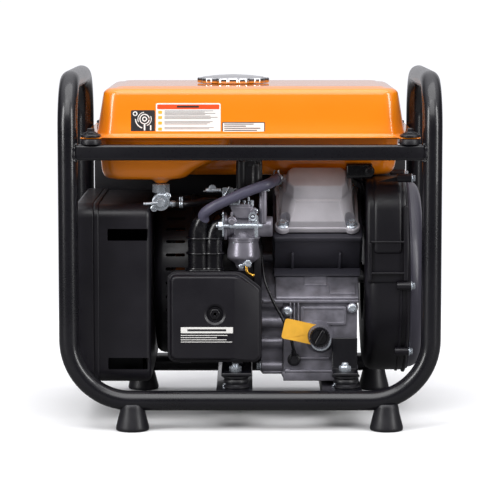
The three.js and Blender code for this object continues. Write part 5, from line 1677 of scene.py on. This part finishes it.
low, high = box_mm("throttle_motor")
motor = [moulded("motor_case", "z", (low.z, high.z), (low.x, high.x), (low.y + 3, high.y), 3.4, 0.8, 2.2, 4),
         turned("front_can", "z", (low.x + 6.4, low.y + 7), [(6.2, low.z + 0.4), (6.4, low.z + 1.4),
         (6.4, high.z - 2), (5.2, high.z - 0.4)], 32),
         turned("front_can", "z", (high.x - 8, low.y + 8), [(7.4, low.z + 0.4), (7.6, low.z + 1.4),
         (7.6, high.z - 6), (6.2, high.z - 4)], 32)]
plug_block = moulded("plug", "z", (high.z - 8, high.z), (low.x + 14, low.x + 24), (low.y + 1, low.y + 10),
                     1.4, 0.6, 1, 2)
finished(grouped("throttle_motor_case", *motor, plug_block), sheet_black,
         replaces=("throttle_motor",))

# %% [markdown]
# ## Hoses and their clips
# Both hoses keep the routes that the CAD model gives them. The fuel line is gripped at each end, and the
# breather hose at the valve cover, by a wire clip with two ears, and the clip is what tells the eye
# that the hose is rubber.
# %% Hoses
def wire_clip(centre, direction, radius, wire=0.8):
    """A double-wire hose clip, square to the hose, with its ears standing up."""
    d = Vector(direction).normalized()
    up = (Vector(UP) - d * d.z).normalized()
    side = d.cross(up)
    turns = []
    for shift in (-1.3, 1.3):
        start = Vector(centre) + d * shift
        ring = [start + (up * math.cos(t) + side * math.sin(t)) * radius for t in np.linspace(0.5,
            2 * math.pi - 0.5, 26)]
        ears = [start + up * (radius + 4) + side * 2.2], [start + up * (radius + 4) - side * 2.2]
        turns.append(tube("wire", ears[0] + ring + ears[1], wire, 8))
    return turns


FUEL_LINE = [
    (-89.6, -104, 270), (-81, -104, 270), (-68, -92, 270), (-50, -70, 272),
    (-30, -57, 267), (-17, -57, 259), (-16, -64, 256), (-16, -73.6, 256),
]
BREATHER_LINE = [
    (-56.5, -108.3, 250.8), (-56, -113.5, 258.5), (-46, -119, 267), (-29, -121, 275.5), (-9, -121, 284.5),
    (8, -121, 291), (22, -116, 295.5), (29, -98, 297.5), (30, -78, 297.5), (34.5, -62, 297.3),
]
breather_path = smooth_path(BREATHER_LINE, 8)
radii = [6.4 + 0.5 * math.exp(-((min(i, len(breather_path) - 1 - i) / 3.0) ** 2))
         for i in range(len(breather_path))]
finished(tube("breather_tube", breather_path, radii, 28), hose_rubber,
         replaces=("breather_hose",))
finished(tube("fuel_line", smooth_path(FUEL_LINE, 6), 4.0, 20), fuel_rubber,
         replaces=("fuel_hose",))
clips = wire_clip((-84, -104, 270), (1, 0, 0), 4.5) + wire_clip((-16, -71, 256), (0, 1, 0), 4.5)
clips += wire_clip((32.4, -68, 297.4), (0.3, 1, 0), 7.2)
finished(grouped("hose_clips", *clips), zinc)
linkage = [tube("rod", [Vector(p) for p in ((-57, -88, 284), (-44, -90, 286), (-30, -92, 284),
    (-14, -92, 288), (-10, -84, 290))], 0.9, 8),
           tube("rod", [Vector(p) for p in ((-34, -96, 276), (-28, -95, 284), (-25, -94, 290))], 1.0, 8),
           moulded("governor_plate", "y", (-93, -91.4), (-34, -20), (277, 289), 2, 0.4, 0.4, 2),
           turned("governor_pivot", "y", (-46, 288), [(2.6, -95), (4.6, -94.4), (4.6, -91), (2, -90)], 20)]
spring_path = [Vector((-54 + t * 0.42, -93 + 2.2 * math.cos(t * 2.2), 286 + 2.2 * math.sin(t * 2.2)))
               for t in np.linspace(0, 44, 150)]
linkage.append(tube("governor_spring", spring_path, 0.55, 6))
finished(grouped("governor_linkage", *linkage), zinc)

# %% [markdown]
# ## Fuel valve
# The valve hangs from the sump by a hexagon nut. Its body is a flat oval with two small screws, and
# a lever with a thin handle turns on its face. The lever is its own piece because it moves.
# %% Fuel valve
low, high = box_mm("fuel_valve_body")
DISC_Z = low.z + 11.0
face_y = low.y
valve = [
    turned("nut", "z", (VALVE_X, VALVE_Y), [(9.2, high.z - 11.3), (10.4, high.z - 10.6), (10.4, high.z - 0.8),
    (9.2, high.z)], 6),
    turned("stem", "z", (VALVE_X, VALVE_Y), [(4.6, DISC_Z), (4.6, high.z - 10)], 24),
    turned("body", "y", (VALVE_X, DISC_Z), [(8, face_y + 0.2), (10.2, face_y + 1), (10.8, face_y + 2.6),
    (10.8, high.y - 2), (9, high.y)], 40),
    turned("face", "y", (VALVE_X, DISC_Z), [(6.4, face_y - 0.1), (8.6, face_y + 0.1), (8.8, face_y + 1.6)],
           36),
    turned("outlet", "x", (VALVE_Y, DISC_Z - 3), [(3.6, VALVE_X), (3.6, -96), (4.3, -95), (3.3, -91),
    (2.8, -90.2)], 20),
]
for sign in (-1, 1):  # the two ears that take the screws
    cx, cz = VALVE_X + sign * 8.2, DISC_Z + sign * 7.6
    valve.append(turned("ear", "y", (cx, cz), [(3, face_y + 0.4), (4, face_y + 1), (4, face_y + 4.6)], 24))
finished(grouped("fuel_valve", *valve), zinc, replaces=("fuel_valve_body",))
fasten("fuel_valve_screws", "screw", [((VALVE_X + s * 8.2, face_y + 0.5, DISC_Z + s * 7.6), FRONT, 4.6)
    for s in (-1, 1)])

low, high = box_mm("fuel_valve_lever")
lever = [
    turned("hub", "y", (VALVE_X, DISC_Z), [(2, low.y + 1), (4.6, low.y + 0.6), (5.8, low.y + 1.6),
    (6, high.y)], 36),
    tube("handle", smooth_path([(VALVE_X - 3, low.y + 2, DISC_Z), (VALVE_X - 10, low.y + 2, DISC_Z - 0.6),
    (VALVE_X - 16, low.y + 2, DISC_Z - 1),
                                (low.x + 0.6, low.y + 2, DISC_Z - 1)], 4), 1.7, 14),
]
finished(grouped("fuel_valve_handle", *lever), zinc, "fuel_lever", ("fuel_valve_lever",))

# %% [markdown]
# ## Control box
# The electronics live in a moulded box whose front carries two sunk hand slots. The panel is a
# second moulding that closes it: it has its own rolled bezel, and the two meet at a step. Both are
# closed shells, so the slots are cut right into the wall.
# %% Box and panel shells
low, high = box_mm("panel_case")
bx, by, bz = (low.x, high.x), (low.y, high.y), (low.z, high.z)
outer = moulded("box_shell", "x", bx, by, bz, 16, 1.0, 7.0, 6)
room = moulded("room", "x", (bx[0] - 5, bx[1] - 4), (by[0] + 4, by[1] - 4), (bz[0] + 4, bz[1] - 4), 12, 1, 4,
               4)
slot_tools = []
for z in (bz[0] + 16.5, bz[1] - 43.5):
    for face in (by[0], by[1]):
        slot_tools.append(moulded("slot", "y", (face - 6, face + 6), (bx[0] + 17, bx[1] - 3), (z, z + 14.5),
            1.4, 0.2, 0.8, 2))
box_shell = cut(outer, room, *slot_tools)
step = moulded("step", "x", (bx[0] - 0.2, bx[0] + 6.5), (by[0] - 1.6, by[1] + 1.6),
               (bz[0] - 1.6, bz[1] + 1.6), 17, 1.2, 1.6, 3)
step = cut(step, moulded("step_room", "x", (bx[0] - 5, bx[0] + 12), (by[0] + 4, by[1] - 4),
                         (bz[0] + 4, bz[1] - 4), 12, 1, 1, 2))
finished(grouped("control_box_case", box_shell, step), abs_black, replaces=("panel_case",))

low, high = box_mm("control_panel")
px, py, pz = (low.x, high.x), (low.y, high.y), (low.z, high.z)
FACE = -208.0
panel = moulded("panel_shell", "x", (px[0] + 0.2, px[1]), py, pz, 18, 5.0, 0.8, 6)
tools = [moulded("recess", "x", (px[0] - 5, FACE), (py[0] + 8, py[1] - 8), (pz[0] + 8, pz[1] - 8), 11, 0.5,
                 1.2, 2),
         moulded("room", "x", (FACE + 3, px[1] + 5), (py[0] + 6, py[1] - 6), (pz[0] + 6, pz[1] - 6), 10, 0.5,
                 0.5, 2)]
SWITCHES = {"engine_switch": "engine_rocker", "eco_switch": "eco_rocker"}
for node in SWITCHES:
    s_low, s_high = box_mm(node)
    tools.append(moulded("switch_hole", "x", (FACE - 2, FACE + 6), (s_low.y - 1, s_high.y + 1),
                         (s_low.z - 1.5, s_high.z + 1.5), 1.2, 0.2, 0.2, 1))
b_low, b_high = box_mm("breaker_button")
BREAKER_AT = ((b_low.y + b_high.y) / 2, (b_low.z + b_high.z) / 2)
tools.append(turned("breaker_hole", "x", BREAKER_AT, [(7.3, FACE - 2), (7.3, FACE + 6)], 40))
OUTLETS = {}
for node in ("twin_outlet", "locking_outlet"):
    o_low, o_high = box_mm(node)
    OUTLETS[node] = ((o_low.y + o_high.y) / 2, (o_low.z + o_high.z) / 2)
    tools.append(turned("outlet_hole", "x", OUTLETS[node], [(24, FACE - 2), (24, FACE + 6)], 48))
panel = cut(panel, *tools)
finished(panel, abs_black, replaces=("control_panel",))

# %% [markdown]
# ## Switches, breaker, sockets and lamps
# Each control sits in a raised bezel. The sockets' blade slots are real cuts, of generic shapes, the
# rockers carry a plain bar and ring as on any mains switch, and the lamps are small lenses. The
# moving ones follow their own joints.
# %% Controls on the panel
bezels = []
for node, body in SWITCHES.items():
    s_low, s_high = box_mm(node)
    mid_y = (s_low.y + s_high.y) / 2
    rocker = refined(node, f"{node}_rocker", 0.8, 3)
    finished(rocker, gloss_black, body, (node,))
    ring = turned("ring", "x", (mid_y, s_low.z + 6.6), [(1.7, s_low.x + 2.3), (2.6, s_low.x + 2.3),
        (2.6, s_low.x + 1.88), (1.7, s_low.x + 1.9)], 24, closed=True)
    bar_mark = moulded("bar", "x", (s_low.x + 0.4, s_low.x + 1.4), (mid_y - 0.5, mid_y + 0.5),
                       (s_high.z - 9.4, s_high.z - 4.6), 0.3, 0.1, 0.1, 1)
    finished(grouped(f"{node}_marks", ring, bar_mark), film_white, body)
    outer = moulded("bezel", "x", (FACE - 1.8, FACE + 0.4), (s_low.y - 3.4, s_high.y + 3.4),
                    (s_low.z - 3.9, s_high.z + 3.9), 2.4, 0.9, 0.2, 3)
    inner = moulded("hole", "x", (FACE - 6, FACE + 5), (s_low.y - 0.7, s_high.y + 0.7),
                    (s_low.z - 1.3, s_high.z + 1.3), 1, 0.2, 0.2, 1)
    bezels.append(cut(outer, inner))
bezels.append(turned("breaker_ring", "x", BREAKER_AT, [(7.6, FACE + 0.3), (12, FACE + 0.3), (12, FACE - 0.8),
    (11, FACE - 1.8), (8.6, FACE - 1.8), (7.6, FACE - 1)], 44, closed=True))
finished(grouped("panel_bezels", *bezels), gloss_black)

button = turned("breaker_push", "x", BREAKER_AT, [(4.8, b_low.x), (6, b_low.x + 0.3), (6.6, b_low.x + 1.2),
    (6.7, FACE + 2.4), (5, FACE + 2.6),
                (5, FACE + 3.4), (8.4, FACE + 3.5), (8.4, FACE + 5.8)], 40)
finished(button, gloss_black, "breaker", ("breaker_button",))

for node, (y, z) in OUTLETS.items():
    face_plate = turned(
        f"{node}_face", "x", (y, z), [(20.6, FACE - 2.2), (22.6, FACE - 2.4), (25, FACE - 2.8),
        (26.4, FACE - 2), (27, FACE - 0.3), (23, FACE + 0.6), (23, FACE + 13), (21, FACE + 14)], 64)
    holes = []
    if node == "twin_outlet":
        for dz in (-10, 10):
            holes += [moulded("blade", "x", (FACE - 6, FACE + 7), (y + a, y + a + 1.8),
                              (z + dz - 2.5, z + dz + 5), 0.4, 0.1, 0.1, 1) for a in (-7, 5.2)]
            holes.append(turned("earth", "x", (y, z + dz - 5.2), [(2.3, FACE - 6), (2.3, FACE + 7)], 20))
    else:
        for k in range(3):
            t0 = 2 * math.pi * k / 3
            arc = [[(FACE + h, y + r * math.cos(t0 + s), z + r * math.sin(t0 + s))
                    for h, r in ((-6, 11.6), (7, 11.6), (7, 13.8), (-6, 13.8))]
                   for s in np.linspace(-0.42, 0.42, 9)]
            holes.append(skin("arc", arc))
    finished(cut(face_plate, *holes), gloss_black, replaces=(node,))

screws = [((FACE - 0.3, y, z), LEFT, 6.5) for y, z in ((-106, 258), (106, 258), (-106, 66), (106, 66),
    (0, 66))]
screws += [((FACE - 2.5, y, z), LEFT, 5.0 if y > 0 else 4.0) for y, z in OUTLETS.values()]
fasten("panel_screws", "screw", screws)
for name, y, material in (("power_lamp", -58, lens_green), ("overload_lamp", -76, lens_red)):
    lens = turned(name, "x", (y, 219), [(1, FACE - 3.4), (2.6, FACE - 2.9), (3.6, FACE - 1.6),
        (3.8, FACE + 1)], 28)
    finished(lens, material)
    finished(turned(f"{name}_ring", "x", (y, 219), [(3.9, FACE + 0.3), (5.6, FACE + 0.3), (5.4, FACE - 1),
        (3.9, FACE - 1.2)], 28, closed=True), chrome)
post = [turned("post", "x", (-90, 84), [(4, FACE + 0.3), (4, FACE - 4.6), (3, FACE - 4.8)], 20),
        turned("wing", "x", (-90, 84), [(5.6, FACE - 0.2), (6.4, FACE - 0.8), (6.4, FACE - 2.6),
        (5.6, FACE - 3)], 6)]
finished(grouped("earth_terminal", *post), zinc)
for y, z, wide, seed in ((50, 196, 36, 21), (-18, 199, 16, 22), (-67, 206, 26, 23), (0, 84, 60, 24)):
    strip = moulded("strip", "x", (FACE - 0.3, FACE + 0.3), (y - wide / 2, y + wide / 2), (z - 2, z + 2), 0.8,
                    0.1, 0.1, 1)
    strip.name = f"panel_legend_{seed}"
    finished(strip, film_grey)

# %% [markdown]
# ## Muffler and rear guard
# The muffler is two pressed halves crimped at a seam, under a slotted sheet that keeps hands off it.
# Heat-resistant paint is dull and a little uneven. The guard is flat sheet, so its CAD shape is
# kept with its edges rolled, and it is screwed on round its edge.
# %% Muffler, guard and their fixings
low, high = box_mm("muffler")
can_x, can_y, can_z = (22.0, 138.0), (66.0, 128.0), (218.0, 290.0)
can = moulded("can", "z", can_z, can_x, can_y, 20, 9, 9, 6)
seam = moulded("seam", "z", (252.4, 255.6), (can_x[0] - 3.4, can_x[1] + 3.4),
               (can_y[0] - 3.4, can_y[1] + 2.2), 22, 0.9, 0.9, 2)
swages = [moulded("swage", "x", (x, x + 5), (can_y[0] - 1.6, can_y[1] + 0.8), (can_z[0] + 14, can_z[1] - 14),
                  3, 1.5, 1.5, 3) for x in (58, 76, 94, 112)]
tail = turned("tail", "y", (44, 240), [(8.6, high.y - 12), (8.6, high.y), (9.6, high.y), (11, high.y - 0.4),
    (11, 126)], 36)
port = engine_point(83, 42.3, 96)
bend = engine_point(83, 66, 96)
pipe = tube("pipe", smooth_path([port, bend, (83, 40, 274), (83, 72, 262)], 6), 9.4, 28)
port_flange = tilted(moulded("flange", "y", (42.3, 48), (64, 102), (88, 104), 6, 0.8, 0.8, 2))
finished(grouped("muffler_can", can, seam, tail, pipe, port_flange, *swages), exhaust_paint,
         replaces=("muffler",))
guard = refined("muffler_guard", "rear_guard_sheet", 0.5)
finished(guard, sheet_black, replaces=("muffler_guard",))
g_low, g_high = box_mm("muffler_guard")
guard_screws = [((x, g_high.y, z), REAR, 8.5) for x in (g_low.x + 8, -6, 64, g_high.x - 8)
                for z in (g_low.z + 7, g_high.z - 7)]
fasten("guard_screws", "screw", guard_screws)

# %% [markdown]
# ## What stays as the CAD made it
# Pieces inside the machine keep their CAD meshes, because they are seen only through slots. They
# still get the finish of the real part: ground steel, laminated core, varnished copper and foam. The
# inverter's black anodising is also painted shade, so that the control box's slots read dark.
# %% Finishes for the carried-over nodes
CARRIED = {
    "crankshaft": ground_steel, "flywheel_fan": cast_metal, "alternator_rotor": core_steel,
    "alternator_stator": copper,
    "starter_reel": gloss_black, "air_filter_element": foam, "inverter_module": anodised_and_slot_shade,
    "cylinder_and_head": cast_metal,
}
for node, material in CARRIED.items():
    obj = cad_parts[node]
    obj.data.materials.clear()
    obj.data.materials.append(material)
print("carried over:", sorted(CARRIED))

# %% [markdown]
# ## Closing
# The fastener models were only patterns, so they go. The finished model's box is printed in
# millimetres.
# %% Remove patterns, write the sizes and finish
for pattern in FASTENERS.values():
    bpy.data.objects.remove(pattern)
low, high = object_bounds()
print("visual box in mm:", [round(c * 1000, 1) for c in low], [round(c * 1000, 1) for c in high])
